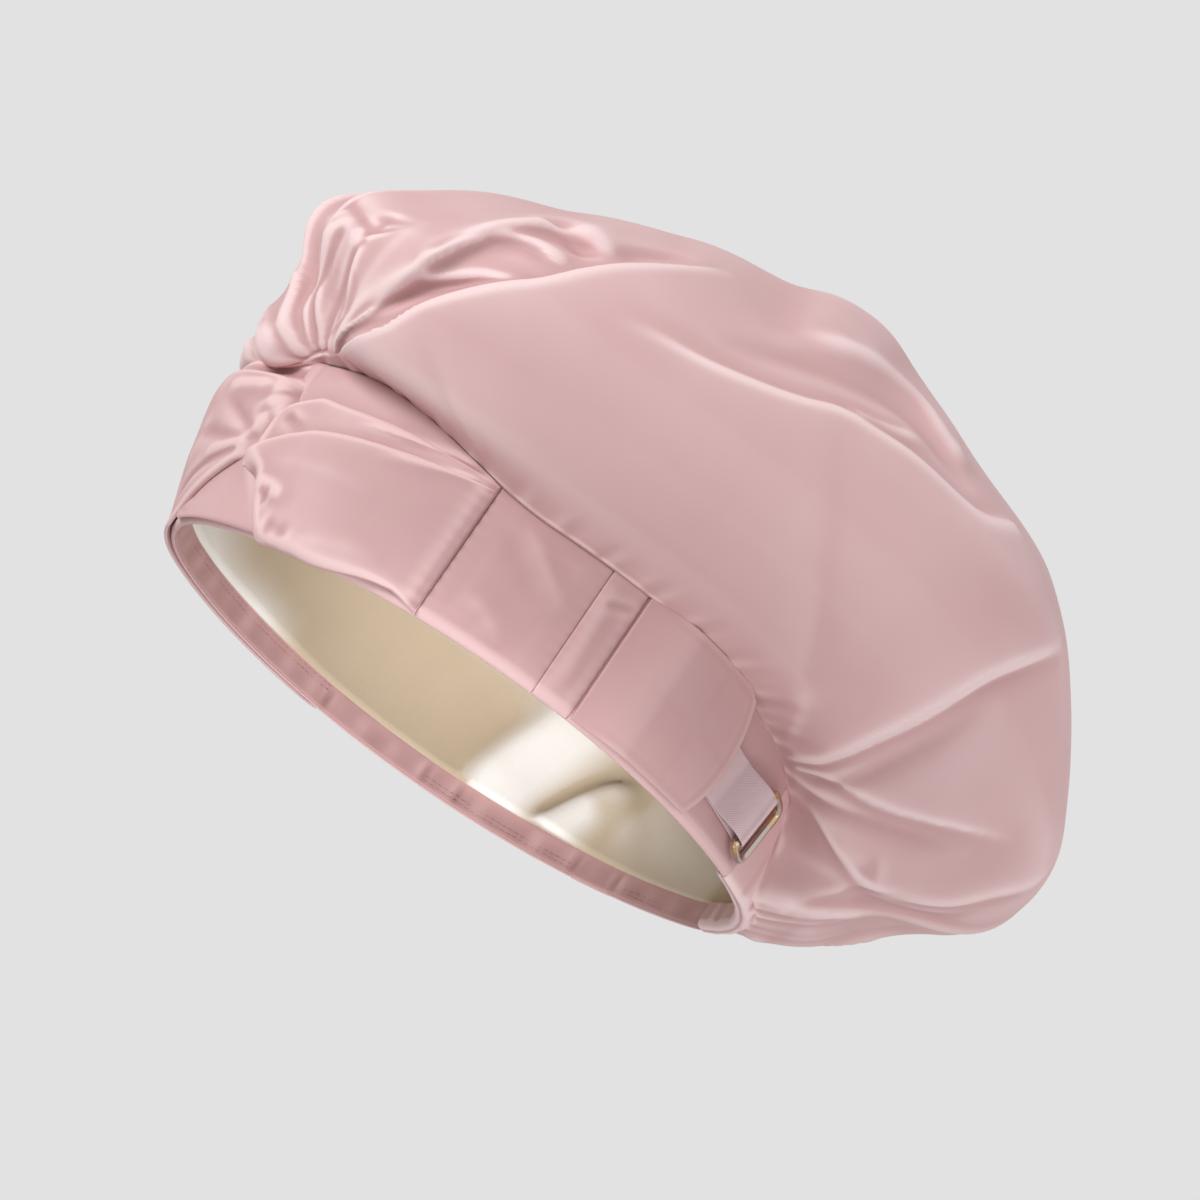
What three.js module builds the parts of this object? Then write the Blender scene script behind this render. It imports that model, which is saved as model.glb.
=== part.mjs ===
// Shower cap: a pleated fabric bag with a cloth lining, sewn to a shaped band that has crossed wraps
// in front, an adjusting strap with a metal ring on the wearer's left and an elastic casing behind.
// Millimetres. The rim lies on z = 0 and +Z runs up to the crown. The front is -Y, the back is +Y
// and +X is the wearer's left.
import * as THREE from 'three';

// Band: a closed loop of four arcs, measured on its outer face
const bandLength = 200;
const bandWidth = 152;
const bandEndRadius = 50;
const bandHeight = 42;
const bandFrontHeight = 56;
const clothThickness = 1.2;
const seamGap = 0.3;

// Seams, measured along the band from the middle of each side. Those far from it are given as
// shares of the way to the front or the back.
const frontSeamShare = 0.2443;
const keeperFrontBehind = 5;
const keeperWidth = 12;
const keeperProud = 0.8;
const rightKeeperShare = 0.4449;
const rightKeeperWidth = 14.5;
const rightEndShare = 0.8351;
const leftEndShare = 0.6783;

// Casing, elastic and hem facing
const casingHeight = 12;
const hemHeight = 9;
const channelWidth = 2.6;
const puckerDepth = 1.2;
const puckerCount = 8;
const puckerEase = 9;
const elasticThickness = 2;
const elasticWidth = 7;
const facingThickness = 1;

// Crown: how far it stands out past the band, and how far it rises over the band's side
const crownFrontBulge = 15;
const crownSideBulge = 28;
const crownBackBulge = 56;
const crownRise = 126.5;
const crownThickness = 1.2;
const crownSeamGap = 0.7;
const foldDepth = 8;
const liningThickness = 1.2;
const liningGap = 3;
const liningFootGap = 1;
const liningFoldDepth = 5;
const liningFoldCount = 9;

// Front wraps
const wrapThickness = 1;
const wrapBulge = 10;
const pleatDepth = 5;
const knotShare = 0.7125;
const knotGap = 0.5;
const knotBottom = 27;
const wrapFootLift = 0.5;

// Strap: a tongue closed over a folded tape that holds the ring
const tongueStart = 17.6;
const ribbonShown = 15.1;
const tongueBulge = 6;
const tongueThickness = 1;
const tongueEndLow = 5;
const tongueEndHigh = 36;
const tongueEdgeInset = 1.2;
const tongueLiftStart = 18.6;
const tongueLiftEnd = 27;
const padLength = 20;
const padWidth = 14;
const padThickness = 0.8;
const padFromEnd = 4;
const tapeWidth = 17;
const tapeThickness = 0.6;
const tapeTail = 48;
const tapeFoldBack = 44;
const tapeEase = 12;
const strapTilt = 8;

// Ring: a rounded loop of wire, hung on its front bar
const wireDiameter = 2.4;
const ringHeight = 23;
const ringWidth = 11;
const ringBarCorner = 2.8;
const ringFarCorner = 5;
const ringBarShare = 0.6163;
const ringMiddleHeight = 16;
const layerGap = 0.3;

// Counts
const crownColumns = 47;
const crownRows = 13;
const liningRows = 11;
const wrapSteps = 12;
const longWrapSteps = 22;
const rowsPerPleat = 5;

// Crown rings as shares: front reach, front rise, side reach, side rise, back reach, back height
const crownRingShares = [
  [0.948, 0.071, 0.856, 0.063, 0.769, 0.030],
  [0.991, 0.213, 0.962, 0.190, 0.949, 0.160],
  [1.000, 0.373, 1.000, 0.332, 1.000, 0.326],
  [0.904, 0.516, 0.952, 0.498, 0.955, 0.522],
  [0.661, 0.684, 0.788, 0.688, 0.763, 0.700],
  [0.348, 0.827, 0.538, 0.846, 0.564, 0.831],
  [0.044, 0.942, 0.269, 0.960, 0.372, 0.938],
  [-0.209, 0.996, 0.038, 1.000, 0.231, 0.997],
];
const ringSquareness = 2.3;

// Folds that fan out of the two gathers: turn from level as a share of a full turn, spread as a
// share of a full turn, length as a share of the crown's rise, depth as a share of the fold depth
const frontFoldShares = [
  [0.064, 0.028, 1.25, 0.80],
  [0.130, 0.028, 0.95, 1.00],
  [0.200, 0.026, 0.70, 0.80],
  [0.270, 0.026, 0.70, 0.80],
  [0.350, 0.030, 0.65, 0.80],
  [0.440, 0.030, 0.65, 0.70],
];
const sideFoldShares = [
  [0.440, 0.024, 0.65, 0.55],
  [0.300, 0.028, 0.60, 1.00],
  [0.180, 0.026, 0.70, 0.60],
  [0.065, 0.028, 0.60, 0.90],
  [-0.045, 0.026, 0.50, 0.80],
];

// Band loop: arcs run from the front end of the left side round the back to the right and the front
const halfLength = bandLength / 2;
const halfWidth = bandWidth / 2;
const sideRun = halfWidth - bandEndRadius;
const endCentre = halfLength - bandEndRadius;
const bandSideRadius = (endCentre ** 2 + halfWidth ** 2 - bandEndRadius ** 2) / (2 * sideRun);
const sideCentre = bandSideRadius - halfWidth;
const sideTurn = Math.atan2(endCentre, sideCentre);
const endTurn = Math.PI / 2 - sideTurn;
const sideArc = bandSideRadius * sideTurn;
const endArc = bandEndRadius * endTurn;
const quarterLoop = sideArc + endArc;
const halfLoop = 2 * quarterLoop;
const fullLoop = 2 * halfLoop;
const bandArcs = [
  { x: -sideCentre, y: 0, radius: bandSideRadius, start: -sideTurn, length: 2 * sideArc },
  { x: 0, y: endCentre, radius: bandEndRadius, start: sideTurn, length: 2 * endArc },
  { x: sideCentre, y: 0, radius: bandSideRadius, start: Math.PI - sideTurn, length: 2 * sideArc },
  { x: 0, y: -endCentre, radius: bandEndRadius, start: Math.PI + sideTurn, length: 2 * endArc },
];

const frontSeamAhead = frontSeamShare * quarterLoop;
const rightKeeperBehind = rightKeeperShare * quarterLoop;
const rightEndBehind = rightEndShare * quarterLoop;
const leftEndBehind = leftEndShare * quarterLoop;
const ringBarBehind = ringBarShare * quarterLoop;
const tongueReach = ringBarBehind - ribbonShown - tongueBulge;

const crownTop = bandHeight + crownRise;
const gatherAlong = -sideArc;
const sideGatherAlong = (leftEndBehind + ringBarBehind) / 2;

const smooth = THREE.MathUtils.smoothstep;
const mix = THREE.MathUtils.lerp;

// The arc and the direction of the band's outward normal at a distance along the loop,
// counted from the middle of the left side towards the back
function bandPlace(along) {
  let rest = THREE.MathUtils.euclideanModulo(along + sideArc, fullLoop);
  for (const arc of bandArcs) {
    if (rest <= arc.length) {
      return { arc, turn: arc.start + rest / arc.radius };
    }
    rest -= arc.length;
  }
  return { arc: bandArcs[0], turn: -sideTurn };
}

// A point of the band, moved outwards from its outer face and up from the rim
function onBand(along, outward, height) {
  const { arc, turn } = bandPlace(along);
  const radius = arc.radius + outward;
  return new THREE.Vector3(arc.x + radius * Math.cos(turn), arc.y + radius * Math.sin(turn), height);
}

// Top edge of the band: level at the sides, higher in front and falling to the casing behind
function bandTop(along) {
  const { turn } = bandPlace(along);
  const fromSide = Math.atan2(Math.abs(Math.sin(turn)), Math.abs(Math.cos(turn)));
  const seamTurn = frontSeamAhead / bandSideRadius;
  const front = Math.sin(turn) < 0 ? smooth(fromSide, seamTurn, sideTurn) : 0;
  const back = Math.max(Math.sin(turn), 0) ** 4;
  return bandHeight + (bandFrontHeight - bandHeight) * front - (bandHeight - casingHeight) * back;
}

function signedVolume(positions, faces) {
  const [a, b, c] = [new THREE.Vector3(), new THREE.Vector3(), new THREE.Vector3()];
  let volume = 0;
  for (let i = 0; i < faces.length; i += 3) {
    a.fromArray(positions, 3 * faces[i]);
    b.fromArray(positions, 3 * faces[i + 1]);
    c.fromArray(positions, 3 * faces[i + 2]);
    volume += a.dot(b.cross(c));
  }
  return volume;
}

// A closed body from shared corners and triangles, turned so that its faces point out
function closedBody(corners, faces) {
  const positions = corners.flatMap((corner) => corner.toArray());
  if (signedVolume(positions, faces) < 0) {
    for (let i = 0; i < faces.length; i += 3) {
      [faces[i + 1], faces[i + 2]] = [faces[i + 2], faces[i + 1]];
    }
  }
  const geometry = new THREE.BufferGeometry();
  geometry.setAttribute('position', new THREE.Float32BufferAttribute(positions, 3));
  geometry.setIndex(faces);
  geometry.computeVertexNormals();
  return geometry;
}

// Sections with the same number of corners joined one after the other. An open run is capped at
// both ends with the flat outline's triangles, and a ring joins its last section to its first.
function sectionBody(sections, outline) {
  const size = sections[0].length;
  const faces = [];
  const spans = outline ? sections.length - 1 : sections.length;
  for (let i = 0; i < spans; i += 1) {
    const next = (i + 1) % sections.length;
    for (let j = 0; j < size; j += 1) {
      const beside = (j + 1) % size;
      faces.push(i * size + j, next * size + j, next * size + beside);
      faces.push(i * size + j, next * size + beside, i * size + beside);
    }
  }
  if (outline) {
    const last = (sections.length - 1) * size;
    for (const [a, b, c] of THREE.ShapeUtils.triangulateShape(outline, [])) {
      faces.push(a, b, c);
      faces.push(last + a, last + c, last + b);
    }
  }
  return closedBody(sections.flat(), faces);
}

// A piece of band: its section is a list of outward and height pairs that may change along it
function bandPiece(from, to, steps, section) {
  const sections = [];
  for (let i = 0; i <= steps; i += 1) {
    const along = mix(from, to, i / steps);
    sections.push(section(along).map(([outward, height]) => onBand(along, outward, height)));
  }
  const outline = section(from).map(([outward, height]) => new THREE.Vector2(outward, height));
  return sectionBody(sections, outline);
}

// A sheet between two grids of points, rows by columns. The columns of a bag close on themselves
// and its rows end in a top point, and an open sheet has four edges.
function sheetBody(outer, inner, tops) {
  const rows = outer.length;
  const columns = outer[0].length;
  const corners = [...outer.flat(), ...inner.flat()];
  const shift = rows * columns;
  const faces = [];
  const quad = (a, b, c, d) => faces.push(a, b, c, a, c, d);
  const lastColumn = tops ? columns : columns - 1;
  for (let i = 0; i < rows - 1; i += 1) {
    for (let j = 0; j < lastColumn; j += 1) {
      const [here, beside] = [i * columns + j, i * columns + (j + 1) % columns];
      quad(here, beside, beside + columns, here + columns);
      quad(shift + here, shift + here + columns, shift + beside + columns, shift + beside);
    }
  }
  const crest = (rows - 1) * columns;
  for (let j = 0; j < lastColumn; j += 1) {
    const beside = (j + 1) % columns;
    quad(j, shift + j, shift + beside, beside);
    if (tops) {
      faces.push(crest + j, crest + beside, corners.length);
      faces.push(shift + crest + beside, shift + crest + j, corners.length + 1);
    } else {
      quad(crest + j, crest + beside, shift + crest + beside, shift + crest + j);
    }
  }
  if (tops) {
    corners.push(...tops);
  } else {
    for (let i = 0; i < rows - 1; i += 1) {
      const [left, right] = [i * columns, i * columns + columns - 1];
      quad(left, left + columns, shift + left + columns, shift + left);
      quad(right, shift + right, shift + right + columns, right + columns);
    }
  }
  return closedBody(corners, faces);
}

// Crown: the curve that a column of the bag follows, from the band's top edge to the top
function crownColumn(along) {
  const foot = onBand(along, 0, bandTop(along) + crownSeamGap);
  const turn = Math.atan2(foot.y / halfLength, foot.x / halfWidth);
  const [c, s] = [Math.cos(turn), Math.sin(turn)];
  const round = (Math.abs(c) ** ringSquareness + Math.abs(s) ** ringSquareness) ** (-1 / ringSquareness);
  const [ahead, behind] = [Math.max(-s, 0), Math.max(s, 0)];
  const points = [foot];
  crownRingShares.forEach(([frontReach, frontRise, sideReach, sideRise, backReach, backHeight], i) => {
    const front = -frontReach * (halfLength + crownFrontBulge);
    const back = backReach * (halfLength + crownBackBulge);
    const side = sideReach * (halfWidth + crownSideBulge);
    const frontZ = mix(bandFrontHeight, crownTop, frontRise);
    const sideZ = mix(bandHeight, crownTop, sideRise);
    const backZ = backHeight * crownTop;
    const height = sideZ + (backZ - sideZ) * behind ** (i ? 3 : 4) + (frontZ - sideZ) * ahead ** 3;
    const middle = (front + back) / 2;
    points.push(new THREE.Vector3(side * round * c, middle + (back - front) / 2 * round * s, height));
  });
  return new THREE.CatmullRomCurve3(points, false, 'catmullrom', 0.5);
}

// Outward normals of a bag's grid, from each point's neighbours
function bagNormals(grid) {
  return grid.map((row, i) => row.map((point, j) => {
    const above = grid[Math.min(i + 1, grid.length - 1)][j];
    const below = grid[Math.max(i - 1, 0)][j];
    const next = row[(j + 1) % row.length];
    const before = row[(j + row.length - 1) % row.length];
    return next.clone().sub(before).cross(above.clone().sub(below)).normalize();
  }));
}

// A gather: folds spread from its point like a fan, over the plane that faces it
function gatherAt(along, folds) {
  const point = onBand(along, 0, bandTop(along));
  const { turn } = bandPlace(along);
  const level = new THREE.Vector3(-Math.sin(turn), Math.cos(turn), 0);
  return { point, level, folds };
}

const gathers = [gatherAt(gatherAlong, frontFoldShares), gatherAt(sideGatherAlong, sideFoldShares)];

// Height of the folds over the smooth bag: each is a ridge along its own direction, which swells
// out from the gather and dies away at its length
function foldHeight(point) {
  let total = 0;
  for (const { point: centre, level, folds } of gathers) {
    const away = point.clone().sub(centre);
    const reach = away.length();
    const flatReach = Math.hypot(away.z, away.dot(level));
    const turn = Math.atan2(away.z, away.dot(level)) / (2 * Math.PI);
    for (const [turnShare, spreadShare, lengthShare, depthShare] of folds) {
      const off = THREE.MathUtils.euclideanModulo(turn - turnShare + 0.5, 1) - 0.5;
      const far = lengthShare * crownRise;
      const swell = smooth(flatReach / far, 0.1, 0.55) * (1 - smooth(reach / far, 0.75, 1.6));
      total += depthShare * foldDepth * swell * Math.exp(-((off / spreadShare) ** 2));
    }
  }
  return total;
}

// Places of the columns along the loop, closer together beside the gathers
function columnPlaces(count) {
  const samples = 720;
  const closenessShare = 0.08;
  const sums = [0];
  for (let i = 0; i < samples; i += 1) {
    const along = fullLoop * i / samples;
    let weight = 1;
    for (const centre of [gatherAlong, sideGatherAlong]) {
      const gap = THREE.MathUtils.euclideanModulo(along - centre + halfLoop, fullLoop) - halfLoop;
      weight += 2.4 * Math.exp(-((gap / (closenessShare * fullLoop)) ** 2));
    }
    sums.push(sums[i] + weight);
  }
  const places = [];
  let k = 0;
  for (let j = 0; j < count; j += 1) {
    const wanted = sums[samples] * j / count;
    while (sums[k + 1] < wanted) {
      k += 1;
    }
    places.push(fullLoop * (k + (wanted - sums[k]) / (sums[k + 1] - sums[k])) / samples);
  }
  return places;
}

function moved(grid, normals, distance) {
  return grid.map((row, i) => row.map((point, j) => {
    const step = typeof distance === 'function' ? distance(point, i, j) : distance;
    return point.clone().addScaledVector(normals[i][j], step);
  }));
}

function middleOf(row) {
  return row.reduce((sum, point) => sum.add(point), new THREE.Vector3()).divideScalar(row.length);
}

function rowShares(count, crowding) {
  return Array.from({ length: count }, (_, i) => (i / (count - 1)) ** crowding);
}

function crownShell() {
  const columns = columnPlaces(crownColumns).map(crownColumn);
  const shares = rowShares(crownRows, 1.25);
  const base = shares.map((share) => columns.map((column) => column.getPoint(share)));
  const raised = moved(base, bagNormals(base), (point, i) => foldHeight(point) * smooth(shares[i], 0.02, 0.2));
  const inner = moved(raised, bagNormals(raised), -crownThickness);
  const tops = [middleOf(raised.at(-1)), middleOf(inner.at(-1))];
  return sheetBody(raised, inner, tops);
}

// Lining: up the inside of the band from the hem, then under the crown with soft folds of its own
function crownLining() {
  const places = columnPlaces(crownColumns);
  const columns = places.map(crownColumn);
  const wallMiddle = -clothThickness - layerGap - liningThickness / 2;
  const liningFootRise = crownSeamGap + crownThickness + liningThickness + liningFootGap;
  const wallRows = [0, 0.5, 1].map((share) => places.map((along) => {
    const low = hemHeight + layerGap;
    return onBand(along, wallMiddle, mix(low, bandTop(along) + liningFootRise, share));
  }));
  const shares = rowShares(liningRows, 1.25).slice(1);
  const base = shares.map((share) => columns.map((column) => column.getPoint(share)));
  const normals = bagNormals(base);
  const inside = moved(base, normals, (point, i, j) => {
    const ripple = 0.5 + 0.5 * Math.cos(2 * Math.PI * liningFoldCount * places[j] / fullLoop);
    const swell = smooth(shares[i], 0.1, 0.4) * (1 - smooth(shares[i], 0.6, 1));
    return -crownThickness - liningGap - liningThickness / 2 - liningFoldDepth * ripple * swell;
  });
  const grid = [...wallRows, ...inside];
  const across = bagNormals(grid);
  const outer = moved(grid, across, liningThickness / 2);
  const inner = moved(grid, across, -liningThickness / 2);
  return sheetBody(outer, inner, [middleOf(outer.at(-1)), middleOf(inner.at(-1))]);
}

// Band pieces of one cloth thickness, from the rim to the band's top edge
function bandPanel(from, to, steps, proud = 0) {
  return bandPiece(from, to, steps, (along) => [
    [-clothThickness, 0],
    [proud, 0],
    [proud, bandTop(along)],
    [-clothThickness, bandTop(along)],
  ]);
}

function between(from, to, steps, proud) {
  return bandPanel(from + seamGap / 2, to - seamGap / 2, steps, proud);
}

// Places on the right side mirror distances that are counted back from its middle
const onRight = (behind) => halfLoop - behind;
const leftSeams = {
  front: -frontSeamAhead,
  keeper: keeperFrontBehind,
  strap: keeperFrontBehind + keeperWidth,
  end: leftEndBehind,
};
const rightSeams = {
  front: onRight(-frontSeamAhead),
  middle: onRight(keeperFrontBehind),
  keeper: onRight(rightKeeperBehind),
  keeperEnd: onRight(rightKeeperBehind + rightKeeperWidth),
  end: onRight(rightEndBehind),
};

// Casing: the band's cloth turned up inside to a channel, puckered by the elastic that it holds
function backCasing() {
  const [from, to] = [leftSeams.end + seamGap / 2, rightSeams.end - seamGap / 2];
  return bandPiece(from, to, puckerCount * 4, (along) => {
    const share = (along - from) / (to - from);
    const wave = 0.5 - 0.5 * Math.cos(2 * Math.PI * puckerCount * share);
    const pucker = puckerDepth * wave * smooth(along - from, puckerEase, 2 * puckerEase);
    const top = bandTop(along);
    const inside = -clothThickness - channelWidth;
    return [
      [pucker, 0],
      [pucker, top / 2],
      [0, top],
      [-clothThickness, top],
      [pucker - clothThickness, top / 2],
      [pucker - clothThickness, clothThickness],
      [inside - pucker, clothThickness],
      [inside - pucker, hemHeight],
      [inside - clothThickness - pucker, hemHeight],
      [inside - clothThickness - pucker, 0],
    ];
  });
}

function backElastic() {
  const low = clothThickness + layerGap;
  const outer = -clothThickness - layerGap;
  const section = [
    [outer, low],
    [outer, low + elasticWidth],
    [outer - elasticThickness, low + elasticWidth],
    [outer - elasticThickness, low],
  ];
  return bandPiece(leftSeams.end + clothThickness, rightSeams.end - clothThickness, 16, () => section);
}

function rimFacing() {
  const outer = -clothThickness - layerGap;
  const section = [
    [outer, layerGap],
    [outer, hemHeight],
    [outer - facingThickness, hemHeight],
    [outer - facingThickness, layerGap],
  ];
  return bandPiece(rightSeams.end + seamGap / 2, leftSeams.end + fullLoop - seamGap / 2, 60, () => section);
}

// Front wraps: stacked rolls of cloth between fold lines. Each fold line gives its height share
// at the seam and at the knot, where the foot of the long wrap is drawn up.
const leftFoldShares = [[0, 0], [0.62, 0.58], [0.86, 0.80], [1, 1]];
const rightFoldShares = [[0, 0], [0.34, 0.30], [0.64, 0.66], [1, 1]];

function wrapSheet(seam, knot, steps, foldLineShares, footRise) {
  const [outer, inner] = [[], []];
  for (let i = 0; i < foldLineShares.length - 1; i += 1) {
    const rowsHere = i === foldLineShares.length - 2 ? rowsPerPleat + 1 : rowsPerPleat;
    for (let k = 0; k < rowsHere; k += 1) {
      const share = k / rowsPerPleat;
      const [outerRow, innerRow] = [[], []];
      for (let j = 0; j <= steps; j += 1) {
        const toKnot = j / steps;
        const along = mix(seam, knot, toKnot);
        const foot = wrapFootLift + footRise * smooth(toKnot, 0.55, 1);
        const top = bandTop(along) - wrapFootLift;
        const low = mix(...foldLineShares[i], toKnot);
        const high = mix(...foldLineShares[i + 1], toKnot);
        const level = mix(low, high, share);
        const swell = smooth(toKnot, 0, 0.75);
        const roll = Math.sin(Math.PI * share ** 0.8) * pleatDepth * (high - low) * 2;
        const bulge = wrapBulge * Math.sin(Math.PI * mix(0.12, 0.94, level)) ** 0.8;
        const outward = layerGap + swell * (Math.max(roll, 0) + bulge - pleatDepth * (1 - level) / 4);
        const height = mix(foot, top, level);
        innerRow.push(onBand(along, outward, height));
        outerRow.push(onBand(along, outward + wrapThickness, height));
      }
      outer.push(outerRow);
      inner.push(innerRow);
    }
  }
  return sheetBody(outer, inner, null);
}

const knot = -knotShare * quarterLoop;
const wrapLeft = () => wrapSheet(leftSeams.front - seamGap, knot, wrapSteps, leftFoldShares, 0);
const wrapRight = () => wrapSheet(
  rightSeams.front - fullLoop + seamGap,
  knot - knotGap,
  longWrapSteps,
  rightFoldShares,
  knotBottom,
);

// Layers of the strap, counted outwards from the band
const tapeOver = layerGap + tapeThickness + layerGap;
const padUnder = tapeOver + tapeThickness + layerGap;
const tongueUnder = padUnder + padThickness + layerGap;

// Tongue: sewn at its start, with a round end, lifted over the folded tape
function strapTongue() {
  const [rows, columns] = [9, 14];
  const [outer, inner] = [[], []];
  for (let i = 0; i < rows; i += 1) {
    const level = i / (rows - 1);
    const end = tongueReach + tongueBulge * Math.sin(Math.PI * level);
    const [outerRow, innerRow] = [[], []];
    for (let j = 0; j < columns; j += 1) {
      const along = mix(tongueStart, end, j / (columns - 1));
      const run = (along - tongueStart) / (tongueReach - tongueStart);
      const low = mix(tongueEdgeInset, tongueEndLow, smooth(run, 0.2, 1));
      const high = mix(bandHeight - tongueEdgeInset, tongueEndHigh, smooth(run, 0.2, 1));
      const lift = mix(layerGap, tongueUnder, smooth(along, tongueLiftStart, tongueLiftEnd));
      innerRow.push(onBand(along, lift, mix(low, high, level)));
      outerRow.push(onBand(along, lift + tongueThickness, mix(low, high, level)));
    }
    outer.push(outerRow);
    inner.push(innerRow);
  }
  return sheetBody(outer, inner, null);
}

// The strap's own directions: along it from the ring's bar, and across it, with a slight tilt
const tilt = THREE.MathUtils.degToRad(strapTilt);
function onStrap(along, outward, across) {
  const place = ringBarBehind + along * Math.cos(tilt) + across * Math.sin(tilt);
  return onBand(place, outward, ringMiddleHeight - along * Math.sin(tilt) + across * Math.cos(tilt));
}

function hookPad() {
  const end = tongueReach - padFromEnd - ringBarBehind;
  const steps = 5;
  const sections = [];
  const outline = [[padUnder, -padWidth / 2], [padUnder + padThickness, -padWidth / 2],
    [padUnder + padThickness, padWidth / 2], [padUnder, padWidth / 2]];
  for (let i = 0; i <= steps; i += 1) {
    const along = mix(end - padLength, end, i / steps);
    sections.push(outline.map(([outward, across]) => onStrap(along, outward, across)));
  }
  return sectionBody(sections, outline.map(([x, y]) => new THREE.Vector2(x, y)));
}

// Tape: one layer along the band, a turn round the ring's bar and a second layer back on top
const barOutward = layerGap + 2 * tapeThickness + layerGap + wireDiameter / 2;
function tapeLoop() {
  const [tight, wide] = [wireDiameter / 2 + layerGap, wireDiameter / 2 + layerGap + tapeThickness];
  const runSteps = 7;
  const turnSteps = 6;
  const [outside, inside] = [[], []];
  for (let i = 0; i <= runSteps; i += 1) {
    const along = mix(-tapeFoldBack, -wireDiameter, i / runSteps);
    const rise = smooth(along, -tapeEase - wireDiameter, -wireDiameter);
    const level = mix(tapeOver, barOutward + tight, rise);
    outside.push([along, level + tapeThickness]);
    inside.push([along, level]);
  }
  for (let i = 0; i <= turnSteps; i += 1) {
    const turn = Math.PI / 2 - Math.PI * i / turnSteps;
    outside.push([wide * Math.cos(turn), barOutward + wide * Math.sin(turn)]);
    inside.push([tight * Math.cos(turn), barOutward + tight * Math.sin(turn)]);
  }
  for (let i = 0; i <= runSteps; i += 1) {
    const along = mix(-wireDiameter, -tapeTail, i / runSteps);
    const fall = smooth(-along, wireDiameter, tapeEase + wireDiameter);
    const level = mix(barOutward - wide, layerGap, fall);
    outside.push([along, level]);
    inside.push([along, level + tapeThickness]);
  }
  const acrossPlaces = [-tapeWidth / 2, 0, tapeWidth / 2];
  const sheet = (side) => acrossPlaces.map((across) => (
    side.map(([along, outward]) => onStrap(along, outward, across))
  ));
  return sheetBody(sheet(outside), sheet(inside), null);
}

// Ring: round wire along a rounded rectangle, its front bar in the tape's turn and its far bar
// resting close to the band
function adjusterRing() {
  const radius = wireDiameter / 2;
  const [run, rise] = [ringWidth - wireDiameter, ringHeight - wireDiameter];
  const [near, far] = [ringBarCorner - radius, ringFarCorner - radius];
  const path = new THREE.Shape();
  path.moveTo(0, near - rise / 2);
  path.lineTo(0, rise / 2 - near);
  path.quadraticCurveTo(0, rise / 2, near, rise / 2);
  path.lineTo(run - far, rise / 2);
  path.quadraticCurveTo(run, rise / 2, run, rise / 2 - far);
  path.lineTo(run, far - rise / 2);
  path.quadraticCurveTo(run, -rise / 2, run - far, -rise / 2);
  path.lineTo(near, -rise / 2);
  path.quadraticCurveTo(0, -rise / 2, 0, near - rise / 2);
  const points = path.getPoints(5).slice(0, -1);
  const { turn } = bandPlace(ringBarBehind);
  const centre = onBand(ringBarBehind, barOutward, ringMiddleHeight);
  const outwards = new THREE.Vector3(Math.cos(turn), Math.sin(turn), 0);
  const level = new THREE.Vector3(-Math.sin(turn), Math.cos(turn), 0);
  const up = new THREE.Vector3(0, 0, 1);
  const across = up.clone().multiplyScalar(Math.cos(tilt)).addScaledVector(level, Math.sin(tilt));
  const forward = level.clone().multiplyScalar(Math.cos(tilt)).addScaledVector(up, -Math.sin(tilt));
  const fall = bandSideRadius - Math.sqrt(bandSideRadius ** 2 - run ** 2);
  const lean = Math.atan2(barOutward + fall - radius - layerGap, run);
  const slope = forward.clone().multiplyScalar(Math.cos(lean)).addScaledVector(outwards, -Math.sin(lean));
  const normal = new THREE.Vector3().crossVectors(slope, across);
  const sides = 8;
  const sections = points.map((point, i) => {
    const next = points[(i + 1) % points.length];
    const before = points[(i + points.length - 1) % points.length];
    const way = next.clone().sub(before).normalize();
    const beside = slope.clone().multiplyScalar(way.y).addScaledVector(across, -way.x);
    const middle = centre.clone().addScaledVector(slope, point.x).addScaledVector(across, point.y);
    return Array.from({ length: sides }, (_, k) => {
      const angle = 2 * Math.PI * k / sides;
      return middle.clone()
        .addScaledVector(beside, radius * Math.cos(angle))
        .addScaledVector(normal, radius * Math.sin(angle));
    });
  });
  return sectionBody(sections, null);
}

const coatedCloth = new THREE.MeshStandardMaterial({ color: 0xd2a9ab, roughness: 0.55, metalness: 0 });
const bandCloth = new THREE.MeshStandardMaterial({ color: 0xc19a9a, roughness: 0.6, metalness: 0 });
const wrapCloth = new THREE.MeshStandardMaterial({ color: 0xdab5b6, roughness: 0.55, metalness: 0 });
const liningCloth = new THREE.MeshStandardMaterial({ color: 0xe6dccb, roughness: 0.95, metalness: 0 });
const ribbon = new THREE.MeshStandardMaterial({ color: 0xb39696, roughness: 0.45, metalness: 0 });
const hookTape = new THREE.MeshStandardMaterial({ color: 0xb99c9c, roughness: 0.9, metalness: 0 });
const elastic = new THREE.MeshStandardMaterial({ color: 0xe8e2da, roughness: 0.85, metalness: 0 });
const metal = new THREE.MeshStandardMaterial({ color: 0xb9aca0, roughness: 0.25, metalness: 1 });

const cap = new THREE.Group();
function addPiece(name, geometry, material) {
  const mesh = new THREE.Mesh(geometry, material);
  mesh.name = name;
  cap.add(mesh);
}

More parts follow.
